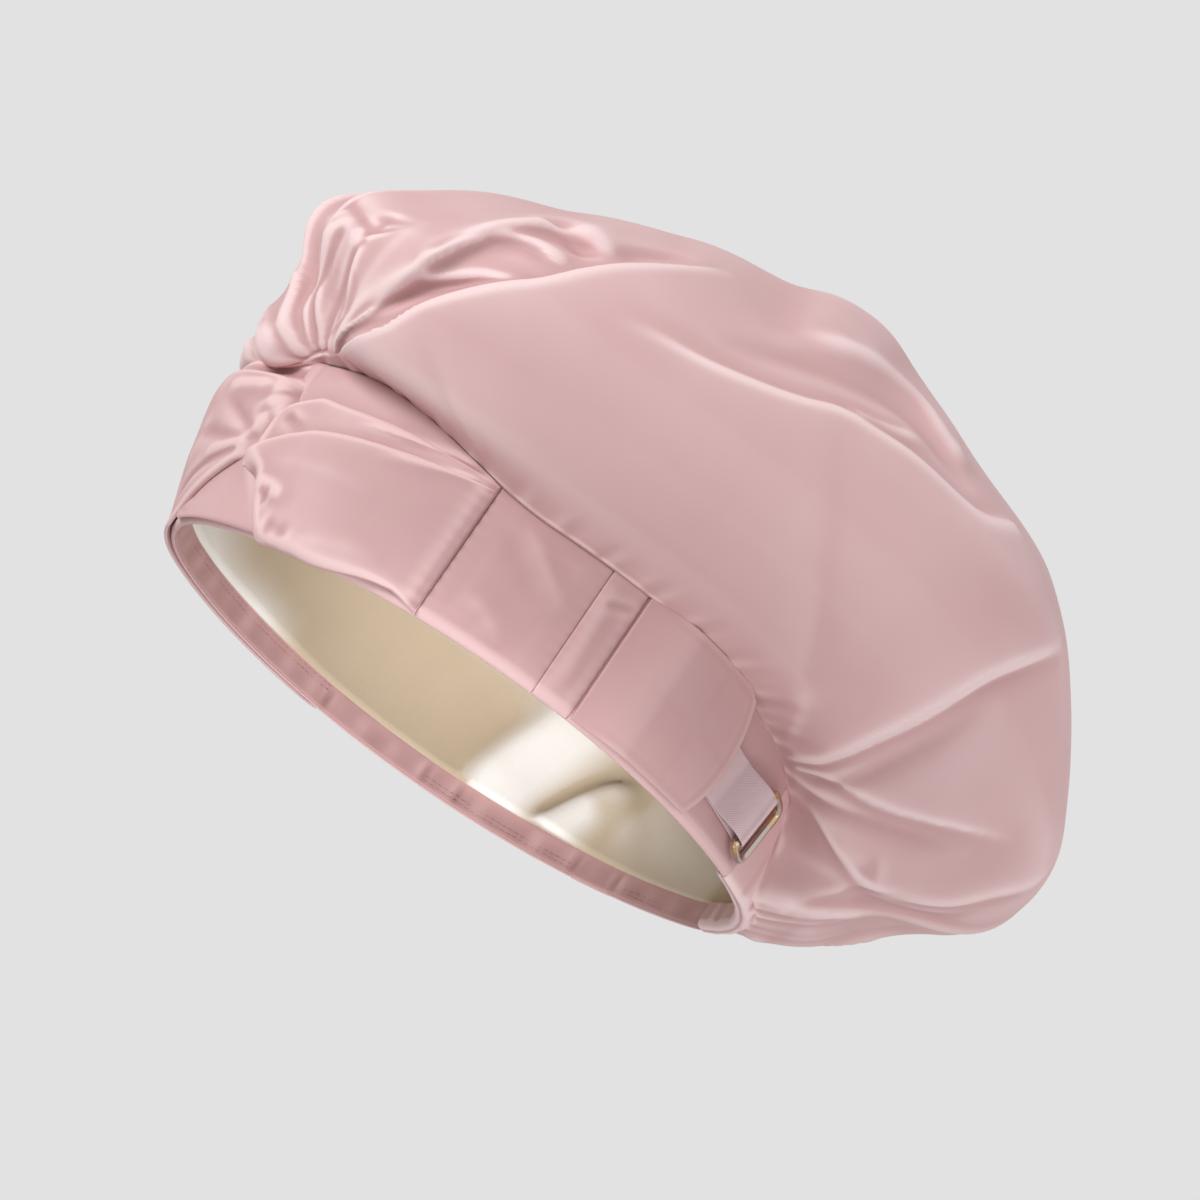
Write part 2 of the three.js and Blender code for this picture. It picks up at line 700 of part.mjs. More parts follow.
addPiece('crown_shell', crownShell(), coatedCloth);
addPiece('crown_lining', crownLining(), liningCloth);
addPiece('front_panel', between(rightSeams.front - fullLoop, leftSeams.front, 36), bandCloth);
addPiece('side_panel_left', between(leftSeams.front, leftSeams.keeper, 6), bandCloth);
addPiece('keeper_left', between(leftSeams.keeper, leftSeams.strap, 3, keeperProud), bandCloth);
addPiece('rear_panel_left', between(leftSeams.strap, leftSeams.end, 12), bandCloth);
addPiece('back_casing', backCasing(), bandCloth);
addPiece('rear_end_right', between(rightSeams.end, rightSeams.keeperEnd, 8), bandCloth);
addPiece('keeper_right', between(rightSeams.keeperEnd, rightSeams.keeper, 3, keeperProud), bandCloth);
addPiece('rear_panel_right', between(rightSeams.keeper, rightSeams.middle, 9), bandCloth);
addPiece('side_panel_right', between(rightSeams.middle, rightSeams.front, 6), bandCloth);
addPiece('wrap_left', wrapLeft(), wrapCloth);
addPiece('wrap_right', wrapRight(), wrapCloth);
addPiece('rim_facing', rimFacing(), bandCloth);
addPiece('back_elastic', backElastic(), elastic);
addPiece('strap_tongue', strapTongue(), bandCloth);
addPiece('tongue_hook_pad', hookPad(), hookTape);
addPiece('tape_loop', tapeLoop(), ribbon);
addPiece('adjuster_ring', adjusterRing(), metal);

export default cap;
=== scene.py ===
import math

import bpy
import numpy as np
from mathutils import Matrix


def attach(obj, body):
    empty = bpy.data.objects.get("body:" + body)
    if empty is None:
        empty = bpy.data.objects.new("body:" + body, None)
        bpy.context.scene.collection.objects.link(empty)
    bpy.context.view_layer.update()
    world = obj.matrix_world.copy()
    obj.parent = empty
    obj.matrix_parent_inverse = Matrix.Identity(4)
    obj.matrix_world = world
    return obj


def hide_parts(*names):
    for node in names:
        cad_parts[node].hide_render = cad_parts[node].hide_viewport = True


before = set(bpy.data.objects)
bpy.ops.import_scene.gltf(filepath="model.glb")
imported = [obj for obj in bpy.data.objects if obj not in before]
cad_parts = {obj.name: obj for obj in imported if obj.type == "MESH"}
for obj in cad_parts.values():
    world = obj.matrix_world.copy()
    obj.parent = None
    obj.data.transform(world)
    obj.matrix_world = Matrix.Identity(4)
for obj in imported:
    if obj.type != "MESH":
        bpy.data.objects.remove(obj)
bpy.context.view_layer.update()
print("frame loaded")

# Lengths are in millimetres until a mesh is made. x is the wearer's left, y the back of the head.


def smooth(value, low, high):
    # 0 below low, 1 above high and a smooth step between
    t = np.clip((value - low) / (high - low), 0, 1)
    return t * t * (3 - 2 * t)


def unit(vectors):
    return vectors / np.maximum(np.linalg.norm(vectors, axis=-1, keepdims=True), 1e-9)


def lengths(grid, axis=0):
    # how far each point lies along its line, as a running sum of the steps
    gaps = np.linalg.norm(np.diff(grid, axis=axis), axis=-1)
    return np.concatenate([np.zeros_like(np.take(gaps, [0], axis)), np.cumsum(gaps, axis)], axis)


def eased(values, times, axis=0):
    # a quarter of both neighbours and half of itself, some times over. The ends stay.
    v = np.moveaxis(values, axis, 0)
    for _ in range(times):
        v[1:-1] = (v[:-2] + 2 * v[1:-1] + v[2:]) / 4
    return values


def curveThrough(controls, shares):
    # Catmull-Rom curve: controls run along axis 0, and shares go from 0 to 1 along them
    p = np.asarray(controls, float)
    last = len(p) - 1
    p = np.concatenate([2 * p[:1] - p[1:2], p, 2 * p[-1:] - p[-2:-1]])
    place = np.asarray(shares) * last
    i = np.minimum(place.astype(int), last - 1)
    w = (place - i).reshape(-1, *([1] * (p.ndim - 1)))
    a, b, c, d = (p[i + k] for k in range(4))
    return 0.5 * (2 * b + (c - a) * w + (2 * a - 5 * b + 4 * c - d) * w**2 + (3 * b - a - 3 * c + d) * w**3)


def evenLine(line, step):
    # a polyline cut into even steps by its own length
    run = lengths(line)
    places = np.linspace(0, run[-1], max(int(run[-1] / step), 4))
    return np.stack([np.interp(places, run, line[:, k]) for k in range(line.shape[1])], -1)


# camera

view = dict(
    turn=5.0,  # degrees ahead of the wearer's left
    below=17.9,  # degrees under the rim's plane
    roll=34.2,
    distance=1300.0,
    mmPerPixel=0.285,
    originPixel=(456.5, 731.8),  # where the middle of the rim is seen
    picture=1200,
)
turned, below, roll = (math.radians(view[k]) for k in ("turn", "below", "roll"))
toCamera = np.array([math.cos(turned) * math.cos(below), -math.sin(turned) * math.cos(below), -math.sin(below)])
levelRight = unit(np.cross(-toCamera, [0, 0, 1]))
levelUp = np.cross(levelRight, -toCamera)
cameraRight = math.cos(roll) * levelRight + math.sin(roll) * levelUp
cameraUp = -math.sin(roll) * levelRight + math.cos(roll) * levelUp
focalPixels = view["distance"] / view["mmPerPixel"]
sideways = [(p - view["picture"] / 2) * view["mmPerPixel"] for p in view["originPixel"]]
eye = toCamera * view["distance"] - cameraRight * sideways[0] + cameraUp * sideways[1]


def placed(directions, position):
    # the matrix whose columns are three directions and a position
    return Matrix([[*(d[k] for d in directions), position[k]] for k in range(3)] + [[0, 0, 0, 1]])


cameraData = bpy.data.cameras.new("camera")
cameraData.sensor_width = 36
cameraData.lens = focalPixels / view["picture"] * 36
cameraData.clip_end = 20
camera = bpy.data.objects.new("camera", cameraData)
bpy.context.collection.objects.link(camera)
camera.matrix_world = placed((cameraRight, cameraUp, toCamera), eye / 1000)
bpy.context.scene.camera = camera


def seenAt(points):
    # picture place of points: the offset from the eye over its depth, times the focal length
    away = points - eye
    depth = away @ -toCamera
    half = view["picture"] / 2
    return np.stack([half + focalPixels * (away @ cameraRight) / depth,
                     half - focalPixels * (away @ cameraUp) / depth], -1)


# the band's loop of four arcs

band = dict(
    length=200.0, width=152.0, endRadius=50.0, height=42.0, frontHeight=57.0, riseFrom=15.0, riseTo=90.0,
    cloth=1.2, casingHeight=12.0, hemHeight=9.0, hemBend=1.3, seamGap=0.04, edgeWidth=0.28,
    frontSeam=33.5, keeperFront=5.0, keeperWidth=12.0, leftEnd=93.0,
    rightKeeper=61.0, rightKeeperWidth=14.5, rightEnd=114.5,
)
halfWidth, halfLength = band["width"] / 2, band["length"] / 2
endCentre = halfLength - band["endRadius"]
sideRadius = (endCentre**2 + halfWidth**2 - band["endRadius"]**2) / (2 * (halfWidth - band["endRadius"]))
sideCentre = sideRadius - halfWidth
sideTurn = math.atan2(endCentre, sideCentre)
sideArc = sideRadius * sideTurn
endArc = band["endRadius"] * (math.pi / 2 - sideTurn)
halfLoop = 2 * (sideArc + endArc)
fullLoop = 2 * halfLoop


def bandArc(along):
    # centre, radius and outward direction of the loop's arc at a distance from the middle of the left side
    arcs = np.array([sideArc, endArc, sideArc, endArc]) * 2
    ends = np.cumsum(arcs)
    rest = np.mod(np.asarray(along, float) + sideArc, fullLoop)
    arc = np.minimum(np.searchsorted(ends, rest, side="right"), 3)
    x = np.array([-sideCentre, 0, sideCentre, 0])[arc]
    y = np.array([0, endCentre, 0, -endCentre])[arc]
    radius = np.array([sideRadius, band["endRadius"]] * 2)[arc]
    start = np.array([-sideTurn, sideTurn, math.pi - sideTurn, math.pi + sideTurn])[arc]
    return x, y, radius, start + (rest - (ends - arcs)[arc]) / radius


def outwardAt(along):
    turn = bandArc(along)[3]
    return np.stack([np.cos(turn), np.sin(turn), 0 * turn], -1)


def onBand(along, outward, height):
    # the arc's centre plus its radius and the outward step, turned to its direction, at a height
    along, outward, height = np.broadcast_arrays(along, outward, height)
    x, y, radius, turn = bandArc(along)
    return np.stack([x + (radius + outward) * np.cos(turn), y + (radius + outward) * np.sin(turn), height], -1)


def bandTop(along):
    # the band's height, plus a smooth rise in front, less a fall with the fourth power behind
    turn = bandArc(along)[3]
    fromSide = np.arctan2(np.abs(np.sin(turn)), np.abs(np.cos(turn)))
    front = smooth(fromSide, band["riseFrom"] / sideRadius, band["riseTo"] / sideRadius) * (np.sin(turn) < 0)
    back = np.maximum(np.sin(turn), 0) ** 4
    rise = band["frontHeight"] - band["height"]
    return band["height"] + rise * front - (band["height"] - band["casingHeight"]) * back


def onRight(behind):
    return halfLoop - behind


def fromPlace(along, centre):
    # signed distance from a place on the loop, the short way round
    return np.mod(along - centre + halfLoop, fullLoop) - halfLoop


# meshes

def cells(rows, columns):
    return (k.ravel() for k in np.meshgrid(np.arange(rows), np.arange(columns), indexing="ij"))


def faceGrid(rows, columns, closed):
    # quads of a grid, and the row and column of each corner, for its cloth coordinates
    i, j = cells(rows - 1, columns if closed else columns - 1)
    cornerRows = np.stack([i, i, i + 1, i + 1], 1)
    cornerColumns = np.stack([j, j + 1, j + 1, j], 1)
    return cornerRows * columns + cornerColumns % columns, cornerRows, cornerColumns


def stepsOf(grid, axis, closed):
    # central differences, round the loop where the grid is closed
    if closed and axis == 1:
        return np.roll(grid, -1, 1) - np.roll(grid, 1, 1)
    return np.gradient(grid, axis=axis)


def gridNormals(grid, closed):
    # the cross product of the steps along a row and up a column
    return unit(np.cross(stepsOf(grid, 1, closed), stepsOf(grid, 0, closed)))


def ridges(grid, normals, closed):
    # how far the normals spread from one neighbour to the next: above 0 on a ridge, below 0 in a valley. It is the mask
    # of painted highlight on crests and painted shade in valleys.
    total = 0
    for axis in (0, 1):
        step, spread = stepsOf(grid, axis, closed), stepsOf(normals, axis, closed)
        total = total + (step * spread).sum(-1) / np.maximum((step * step).sum(-1), 0.05)
    for axis in (0, 1, 0, 1):
        total = eased(total, 1, axis)
    return np.clip(total * 6, -1, 1)


def makePiece(name, points, faces, body, slot, material, node=None, uv=None, ridge=None, **sheet):
    mesh = bpy.data.meshes.new(name)
    mesh.from_pydata((np.asarray(points) / 1000).tolist(), [], faces)
    mesh.polygons.foreach_set("use_smooth", np.ones(len(mesh.polygons), bool))
    if uv is not None:
        layer = mesh.uv_layers.new(name="cloth")
        layer.data.foreach_set("uv", (np.asarray(uv) / 1000).astype(np.float32).ravel())
    # a point attribute of painted light: above 0 it paints highlight, below 0 it paints shade
    if ridge is not None:
        attribute = mesh.attributes.new("ridge", "FLOAT", "POINT")
        attribute.data.foreach_set("value", np.asarray(ridge, np.float32).ravel())
    mesh.update()
    piece = bpy.data.objects.new(name, mesh)
    bpy.context.collection.objects.link(piece)
    mesh.materials.append(material)
    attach(piece, body)
    if node:
        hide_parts(node)
    return piece


def fromEdge(grid):
    # length along the rows and columns to the nearest edge
    runs = [(lengths(grid, axis), axis) for axis in (0, 1)]
    return np.minimum(*(np.minimum(run, np.take(run, [-1], axis) - run) for run, axis in runs))


def clothPiece(name, middle, thickness, *rest, uv=None, edgeWidth=None, **sheet):
    # two layers, half a thickness either side of the middle grid, that meet in a rounded edge
    rows, columns = middle.shape[:2]
    normals = gridNormals(middle, False)
    edge = fromEdge(middle) / (edgeWidth or thickness / 2)
    rounded = np.sqrt(np.clip(1 - (1 - np.minimum(edge, 1)) ** 2, 0.002, 1))[..., None]
    layers = [middle + normals * rounded * thickness / 2, middle - normals * rounded * thickness / 2]
    quads = faceGrid(rows, columns, False)[0]
    shift = rows * columns
    index = np.arange(shift).reshape(rows, columns)
    rim = np.concatenate([index[0, :-1], index[:-1, -1], index[-1, :0:-1], index[:0:-1, 0]])
    after = np.roll(rim, -1)
    strip = np.stack([after, rim, rim + shift, after + shift], 1)
    faces = np.concatenate([quads, quads[:, ::-1] + shift, strip])
    if uv is None:
        uv = np.stack([lengths(middle, 1), lengths(middle, 0)], -1)
    flat = np.tile(uv.reshape(-1, 2), (2, 1))
    # the ridges give the painted highlight and shade; the second layer faces the other way and takes them reversed
    ridge = ridges(middle, normals, False).ravel()
    return makePiece(name, np.concatenate([k.reshape(-1, 3) for k in layers]), faces.tolist(), *rest,
                     uv=flat[faces.ravel()], ridge=np.concatenate([ridge, -ridge]), **sheet)


def edged(count, length, half):
    # shares from 0 to 1 with a few close to both ends, where a cloth's edge is rounded
    close = np.array([0, 0.1, 0.4, 1.0]) * half / length
    return np.concatenate([close[:-1], np.linspace(close[-1], 1 - close[-1], count), 1 - close[-2::-1]])


# folds

def fold(line, height, steep, gentle, fade, lean=0, side=1, slim=1.0, power=1.6):
    # its line, height, width on the steep and the gentle side, and the shares in which it comes and goes. Its
    # crest leans over the steep side, which is on the line's left, or on its right where side is -1. A slim
    # fold starts small and grows.
    return dict(line=line, height=height, steep=steep, gentle=gentle, fade=fade, lean=lean, side=side, slim=slim,
                power=power)


def foldFade(fold, run):
    return smooth(run, -1e-6, fold["fade"][0]) * (1 - smooth(run, 1 - fold["fade"][1], 1.000001))


tracing = dict(
    facing=0.02,  # least cosine between a seen point's normal and the way to the camera
    nearest=12, soften=4, layer=3,  # points taken for a pixel, pixels added to their distances, and their depth
    step=3, rounds=3, ease=40, easeShift=12, farthest=26,
)


def seenPath(fold, points, normals):
    # a fold's line drawn on the picture, laid on a surface: each pixel's ray is followed to the depth of the
    # nearest points that face the camera, weighed by how near they are. The line is then moved back by what
    # the fold's own height and lean shift its crest in the picture.
    line = evenLine(curveThrough(fold["line"], np.linspace(0, 1, 12 * len(fold["line"]))), tracing["step"])
    flat, up = points.reshape(-1, 3), normals.reshape(-1, 3)
    facing = np.flatnonzero((up * unit(eye - flat)).sum(-1) > tracing["facing"])
    seen, depth = seenAt(flat[facing]), (flat[facing] - eye) @ -toCamera
    fade = foldFade(fold, np.linspace(0, 1, len(line)))[:, None]
    shift = np.zeros_like(line)
    for _ in range(tracing["rounds"]):
        both = []
        for pixel in line - shift:
            gap = ((seen - pixel) ** 2).sum(-1)
            near = np.argpartition(gap, tracing["nearest"])[:tracing["nearest"]]
            near = near[depth[near] < depth[near].min() + tracing["layer"]]
            weight = 1 / (gap[near] + tracing["soften"])
            weight /= weight.sum()
            both.append(np.append((depth[near] * weight).sum(), (up[facing[near]] * weight[:, None]).sum(0)))
        both = eased(np.array(both), tracing["ease"])
        offset = (line - shift - view["picture"] / 2) / focalPixels
        path = eye + (-toCamera + cameraRight * offset[:, :1] - cameraUp * offset[:, 1:]) * both[:, :1]
        over = unit(both[:, 1:])
        beside = unit(np.cross(over, unit(np.gradient(path, axis=0)))) * fold["side"]
        crest = path + (over * fold["height"] + beside * fold["lean"]) * fade
        shift = seenAt(crest) - seenAt(path)
        size = np.linalg.norm(shift, axis=-1, keepdims=True)
        shift *= np.minimum(1, tracing["farthest"] / np.maximum(size, 1e-6))
        eased(shift, tracing["easeShift"])
    both = eased(evenLine(np.concatenate([path, over], 1), 1), 8)
    return both[:, :3], unit(both[:, 3:])


def pressFolds(points, normals, paths, atOnce=4000000):
    # each fold adds its height times a bell across its path, narrow on its steep side and wide on its
    # gentle side, and leans the crest over the steep side. No more than so many distances are held at once.
    flat, up = points.reshape(-1, 3), normals.reshape(-1, 3)
    lift, slide = np.zeros(len(flat)), np.zeros_like(flat)
    for (path, over), fold in paths:
        reach = 2.6 * max(fold["steep"], fold["gentle"])
        close = np.flatnonzero(np.all((flat > path.min(0) - reach) & (flat < path.max(0) + reach), 1))
        if not len(close):
            continue
        tangent = unit(np.gradient(path, axis=0))
        beside = unit(np.cross(over, tangent)) * fold["side"]
        step = np.linalg.norm(path[1] - path[0])
        for part in np.array_split(close, max(1, len(close) * len(path) // atOnce)):
            gap = flat[part, None] - path[None]
            nearest = (gap * gap).sum(-1).argmin(1)
            offset = gap[np.arange(len(part)), nearest]
            forward = (offset * tangent[nearest]).sum(-1)
            offset = offset - tangent[nearest] * forward[:, None]
            far = np.sign((offset * beside[nearest]).sum(-1)) * np.linalg.norm(offset, axis=-1)
            run = (nearest + forward / step) / (len(path) - 1)
            size = fold["slim"] + (1 - fold["slim"]) * smooth(run, 0, 0.5)
            width = np.where(far > 0, fold["steep"], fold["gentle"]) * size
            sameSide = smooth((up[part] * over[nearest]).sum(-1), -0.2, 0.3)
            bell = np.exp(-np.abs(far / width) ** fold["power"]) * (foldFade(fold, run) * size) * sameSide
            lift[part] += fold["height"] * bell
            slide[part] += beside[nearest] * (fold["lean"] * bell)[:, None]
    return points + (up * lift[:, None] + slide).reshape(points.shape)


def seenPaths(folds, points, normals):
    return [(seenPath(fold, points, normals), fold) for fold in folds]


def foldedBy(folds, points):
    normals = gridNormals(points, False)
    return pressFolds(points, normals, seenPaths(folds, points, normals))


# materials

def feed(tree, node, values):
    # a number, a colour or another node's output into each input
    for socket, source in values.items():
        if isinstance(source, bpy.types.NodeSocket):
            tree.links.new(source, node.inputs[socket])
        else:
            node.inputs[socket].default_value = source


def addNode(tree, kind, values=(), **settings):
    node = tree.nodes.new("ShaderNode" + kind)
    for key, value in settings.items():
        setattr(node, key, value)
    feed(tree, node, dict(values))
    return node


def calculator(tree):
    def calc(operation, a, b=0.0, clamp=False):
        return addNode(tree, "Math", {0: a, 1: b}, operation=operation, use_clamp=clamp).outputs[0]
    return calc


def mixColour(tree, factor, a, b):
    return addNode(tree, "Mix", {0: factor, 6: a, 7: b}, data_type="RGBA").outputs[2]


def newGroup(name, inputs, outputs):
    group = bpy.data.node_groups.new(name, "ShaderNodeTree")
    for sockets, inOut in ((inputs, "INPUT"), (outputs, "OUTPUT")):
        for label, kind in sockets.items():
            group.interface.new_socket(name=label, in_out=inOut, socket_type="NodeSocket" + kind)
    return group, group.nodes.new("NodeGroupInput").outputs, group.nodes.new("NodeGroupOutput"), calculator(group)


def linear(red, green, blue):
    # a screen colour of 0 to 255 as scene light
    return tuple(((c / 255 + 0.055) / 1.055) ** 2.4 for c in (red, green, blue)) + (1,)


def clothToneGroup():
    # colour and height of a soft cloth: broad mottling, small creases, a fine grain, and painted shade in the valleys
    # and painted highlight on the crests
    group, given, end, calc = newGroup("clothTone", {
        "Vector": "Vector", "Colour": "Color", "Shade": "Color", "Light": "Color", "Painted Light": "Float",
        "Mottle Size": "Float", "Grain Size": "Float", "Crease Size": "Float", "Crease": "Float",
    }, {"Colour": "Color", "Roughness Shift": "Float", "Height": "Float"})

    def noise(size, **values):
        scale = calc("DIVIDE", 1.0, given[size])
        return addNode(group, "TexNoise", {"Vector": given["Vector"], "Scale": scale, **values})

    broad = noise("Mottle Size", Detail=3.0, Roughness=0.55).outputs["Fac"]
    grain = noise("Grain Size", Detail=2.0).outputs["Fac"]
    crease = noise("Crease Size", Detail=3.0, Distortion=1.2)
    crease.noise_type = "RIDGED_MULTIFRACTAL"
    mottle = addNode(group, "MapRange", {"Value": broad, "From Min": 0.3, "From Max": 0.7, "To Max": 0.35}).outputs[0]
    tone = mixColour(group, mottle, given["Colour"], given["Shade"])
    # painted shade mixed into the valleys, then painted highlight onto the crests
    for sign, strength, label in ((-1.0, 0.85, "Shade"), (1.0, 0.8, "Light")):  # valleys, then crests
        part = calc("MULTIPLY", calc("MULTIPLY", given["Painted Light"], sign, clamp=True), strength)
        tone = mixColour(group, part, tone, given[label])
    speck = calc("MULTIPLY", calc("SUBTRACT", grain, 0.5), 0.1)
    tone = mixColour(group, calc("ABSOLUTE", speck), tone, given["Shade"])
    patches = calc("MULTIPLY", calc("SUBTRACT", broad, 0.5), 0.25)
    creases = calc("MULTIPLY", calc("MULTIPLY", crease.outputs["Fac"], given["Crease"]), 0.2)
    feed(group, end, {
        "Colour": tone,
        "Roughness Shift": calc("ADD", patches, calc("MULTIPLY", speck, 0.8)),
        "Height": calc("ADD", calc("MULTIPLY", grain, 0.06), creases),
    })
    return group


def weaveGroup():
    # height of crossed threads: each sine of the cloth's own coordinates lifts where the other dips
    group, given, end, calc = newGroup(
        "weave", {"Vector": "Vector", "Thread": "Float"}, {"Height": "Float", "Gap": "Float"})
    parts = addNode(group, "SeparateXYZ", {0: given["Vector"]})
    rate = calc("DIVIDE", math.pi, given["Thread"])
    u, v = (calc("SINE", calc("MULTIPLY", parts.outputs[k], rate)) for k in (0, 1))
    widest = calc("MAXIMUM", calc("ABSOLUTE", u), calc("ABSOLUTE", v))
    feed(group, end, {
        "Height": calc("MULTIPLY", calc("ADD", calc("MULTIPLY", u, v), 1.0), 0.5),
        "Gap": calc("SUBTRACT", 1.0, widest, clamp=True),
    })
    return group


clothTone, weave = clothToneGroup(), weaveGroup()


def newMaterial(name, **values):
    material = bpy.data.materials.new(name)
    material.use_nodes = True
    tree = material.node_tree
    shader = tree.nodes["Principled BSDF"]
    feed(tree, shader, {socket.replace("_", " "): value for socket, value in values.items()})
    return material, tree, shader, calculator(tree)


def clothMaterial(name, look):
    # soft cloth: tones from the shared group, with painted highlight and painted shade by the piece's mask of painted
    # light, a bump of creases and grain, and threads where it has them
    material, tree, shader, calc = newMaterial(
        name, Sheen_Weight=look["sheen"], Sheen_Roughness=0.4, Sheen_Tint=look["light"],
        Specular_IOR_Level=look["specular"])
    places, ridge = addNode(tree, "TexCoord").outputs, addNode(tree, "Attribute", attribute_name="ridge")
    group = addNode(tree, "Group", node_tree=clothTone)
    feed(tree, group, {
        "Vector": places["Object"], "Painted Light": ridge.outputs["Fac"], "Colour": look["colour"], "Shade": look["shade"],
        "Light": look["light"], "Mottle Size": look["mottleSize"], "Grain Size": look["grainSize"],
        "Crease Size": look["creaseSize"], "Crease": look["crease"],
    })
    colour, roughness, height = group.outputs
    if "thread" in look:
        threads = addNode(tree, "Group", node_tree=weave)
        feed(tree, threads, {"Thread": look["thread"], "Vector": places["UV"]})
        lift, gap = threads.outputs
        colour = mixColour(tree, calc("MULTIPLY", gap, look["threadShade"]), colour, look["shade"])
        height = calc("ADD", height, calc("MULTIPLY", lift, look["threadHeight"]))
    bump = addNode(tree, "Bump", {"Height": height, "Strength": look["bump"], "Distance": look["depth"]})
    roughness = calc("ADD", roughness, look["roughness"], clamp=True)
    feed(tree, shader, {"Base Color": colour, "Roughness": roughness, "Normal": bump.outputs[0]})
    return material


def toned(colour, shade, light, base=(), **settings):
    # a look's three tones as screen colours, over those of another look
    return dict(base, colour=linear(*colour), shade=linear(*shade), light=linear(*light), **settings)


# each look's shade is its darker tone for mottling and grain and the painted shade in its valleys; its light is the
# painted highlight on its crests and its sheen's tint
coatedLook = toned(
    (218, 177, 178), (199, 157, 157), (250, 224, 224), roughness=0.58, sheen=0.15, specular=0.4, bump=0.35,
    depth=0.0006, mottleSize=0.05, grainSize=0.0007, creaseSize=0.02, crease=0.25)
softLook = toned(
    (206, 165, 165), (192, 151, 151), (228, 194, 194), roughness=0.72, sheen=0.25, specular=0.25, bump=0.4,
    depth=0.0005, mottleSize=0.02, grainSize=0.0005, creaseSize=0.006, crease=0.15)
# the lining's colour and shade are a tan darker than its cream cloth, as painted shade, and its light is a near white
# for its painted highlight zones
wovenLook = toned(
    (204, 186, 161), (188, 168, 141), (255, 253, 250), roughness=0.95, sheen=0.5, specular=0.15, bump=0.4,
    depth=0.0006, mottleSize=0.03, grainSize=0.0007, creaseSize=0.012, crease=0.12, thread=0.0005,
    threadHeight=0.12, threadShade=0.05)
looks = dict(
    coatedCloth=coatedLook,
    # the band's colours are a darker copy of the coated cloth, as painted shade
    bandCloth=toned((199, 158, 158), (180, 139, 139), (226, 190, 190), coatedLook, crease=0.35),
    # the wraps' colours are a little darker than the coated cloth, as painted shade
    wrapCloth=toned((208, 168, 169), (186, 144, 145), (238, 206, 205), coatedLook),
    # the hem facing's colours are a lighter copy of the band's cloth, as painted light on the rim's inner face, which
    # lies in shade
    facingCloth=toned((206, 163, 162), (188, 144, 144), (238, 200, 200), coatedLook, crease=0.2),
    tongueCloth=softLook,
    liningCloth=wovenLook,
    ribbonCloth=toned(
        (216, 187, 190), (186, 158, 161), (236, 213, 216), roughness=0.42, sheen=0.2, specular=0.5, bump=0.5,
        depth=0.0003, mottleSize=0.01, grainSize=0.0003, creaseSize=0.008, crease=0.05, thread=0.00045,
        threadHeight=0.8, threadShade=0.4),
    elasticCloth=toned(
        (236, 230, 222), (200, 192, 182), (255, 253, 250), wovenLook, roughness=0.85, thread=0.0009, threadShade=0.5),
    hookCloth=toned(
        (188, 158, 158), (150, 118, 118), (228, 194, 194), softLook, roughness=0.9, grainSize=0.0008, thread=0.0006,
        threadHeight=1.2, threadShade=0.6),
    threadCloth=toned(
        (190, 150, 152), (160, 118, 120), (224, 190, 190), coatedLook, roughness=0.6, grainSize=0.0002),
)
cloth = {name: clothMaterial(name, look) for name, look in looks.items()}


def ringMaterial(look):
    # plated wire: fine scratches in its roughness and a warmer tone where the plating is worn
    material, tree, shader, calc = newMaterial("platedWire", Metallic=1.0)
    place = addNode(tree, "TexCoord").outputs["Object"]
    fine = addNode(tree, "TexNoise", {"Vector": place, "Scale": 900.0, "Detail": 4.0}).outputs["Fac"]
    broad = addNode(tree, "TexNoise", {"Vector": place, "Scale": 120.0, "Detail": 1.0}).outputs["Fac"]
    worn = addNode(tree, "MapRange", {"Value": broad, "From Min": 0.5, "From Max": 0.62}).outputs[0]
    feed(tree, shader, {
        "Base Color": mixColour(tree, worn, look["colour"], look["worn"]),
        "Roughness": calc("ADD", calc("MULTIPLY", fine, 0.18), look["roughness"] - 0.09),
        "Normal": addNode(tree, "Bump", {"Height": fine, "Strength": 0.08, "Distance": 0.0002}).outputs[0],
    })
    return material


platedWire = ringMaterial(dict(colour=linear(206, 196, 186), worn=linear(226, 200, 150), roughness=0.2))
print("materials made")


# crown

frontGather, sideGather = -sideArc, 88.75  # distances along the band
crown = dict(
    frontBulge=15.0, sideBulge=28.0, backBulge=56.0, rise=126.5, seamGap=-0.6, tuck=0.35, footLow=3.0, thickness=1.2,
    squareness=2.3, columns=424, rows=212, crowding=1.25, innerRows=14, innerGap=2.6,
    gathers=[(frontGather, 5.0, 14.0), (sideGather, 3.0, 12.0)],  # place, how far it draws the cloth in, and reach
    drawnIn=[1.0, 0.5, 0.15, 0, 0, 0, 0, 0],  # how much of that each ring takes
    # between which sines of the band's direction the foot comes down behind, on the left and on the right
    sagFrom=(0.765, 0.62), sagTo=(0.87, 0.9),
    # front reach, front rise, side reach, side rise, back reach, back height
    rings=[
        (0.948, 0.071, 0.856, 0.063, 0.769, 0.058), (0.991, 0.213, 0.962, 0.190, 0.949, 0.190),
        (1.000, 0.373, 1.000, 0.332, 1.000, 0.326), (0.904, 0.516, 0.952, 0.498, 0.955, 0.522),
        (0.661, 0.684, 0.788, 0.688, 0.763, 0.700), (0.348, 0.827, 0.538, 0.846, 0.564, 0.831),
        (0.044, 0.942, 0.269, 0.960, 0.372, 0.938), (-0.209, 0.996, 0.038, 1.000, 0.231, 0.997),
    ],
)


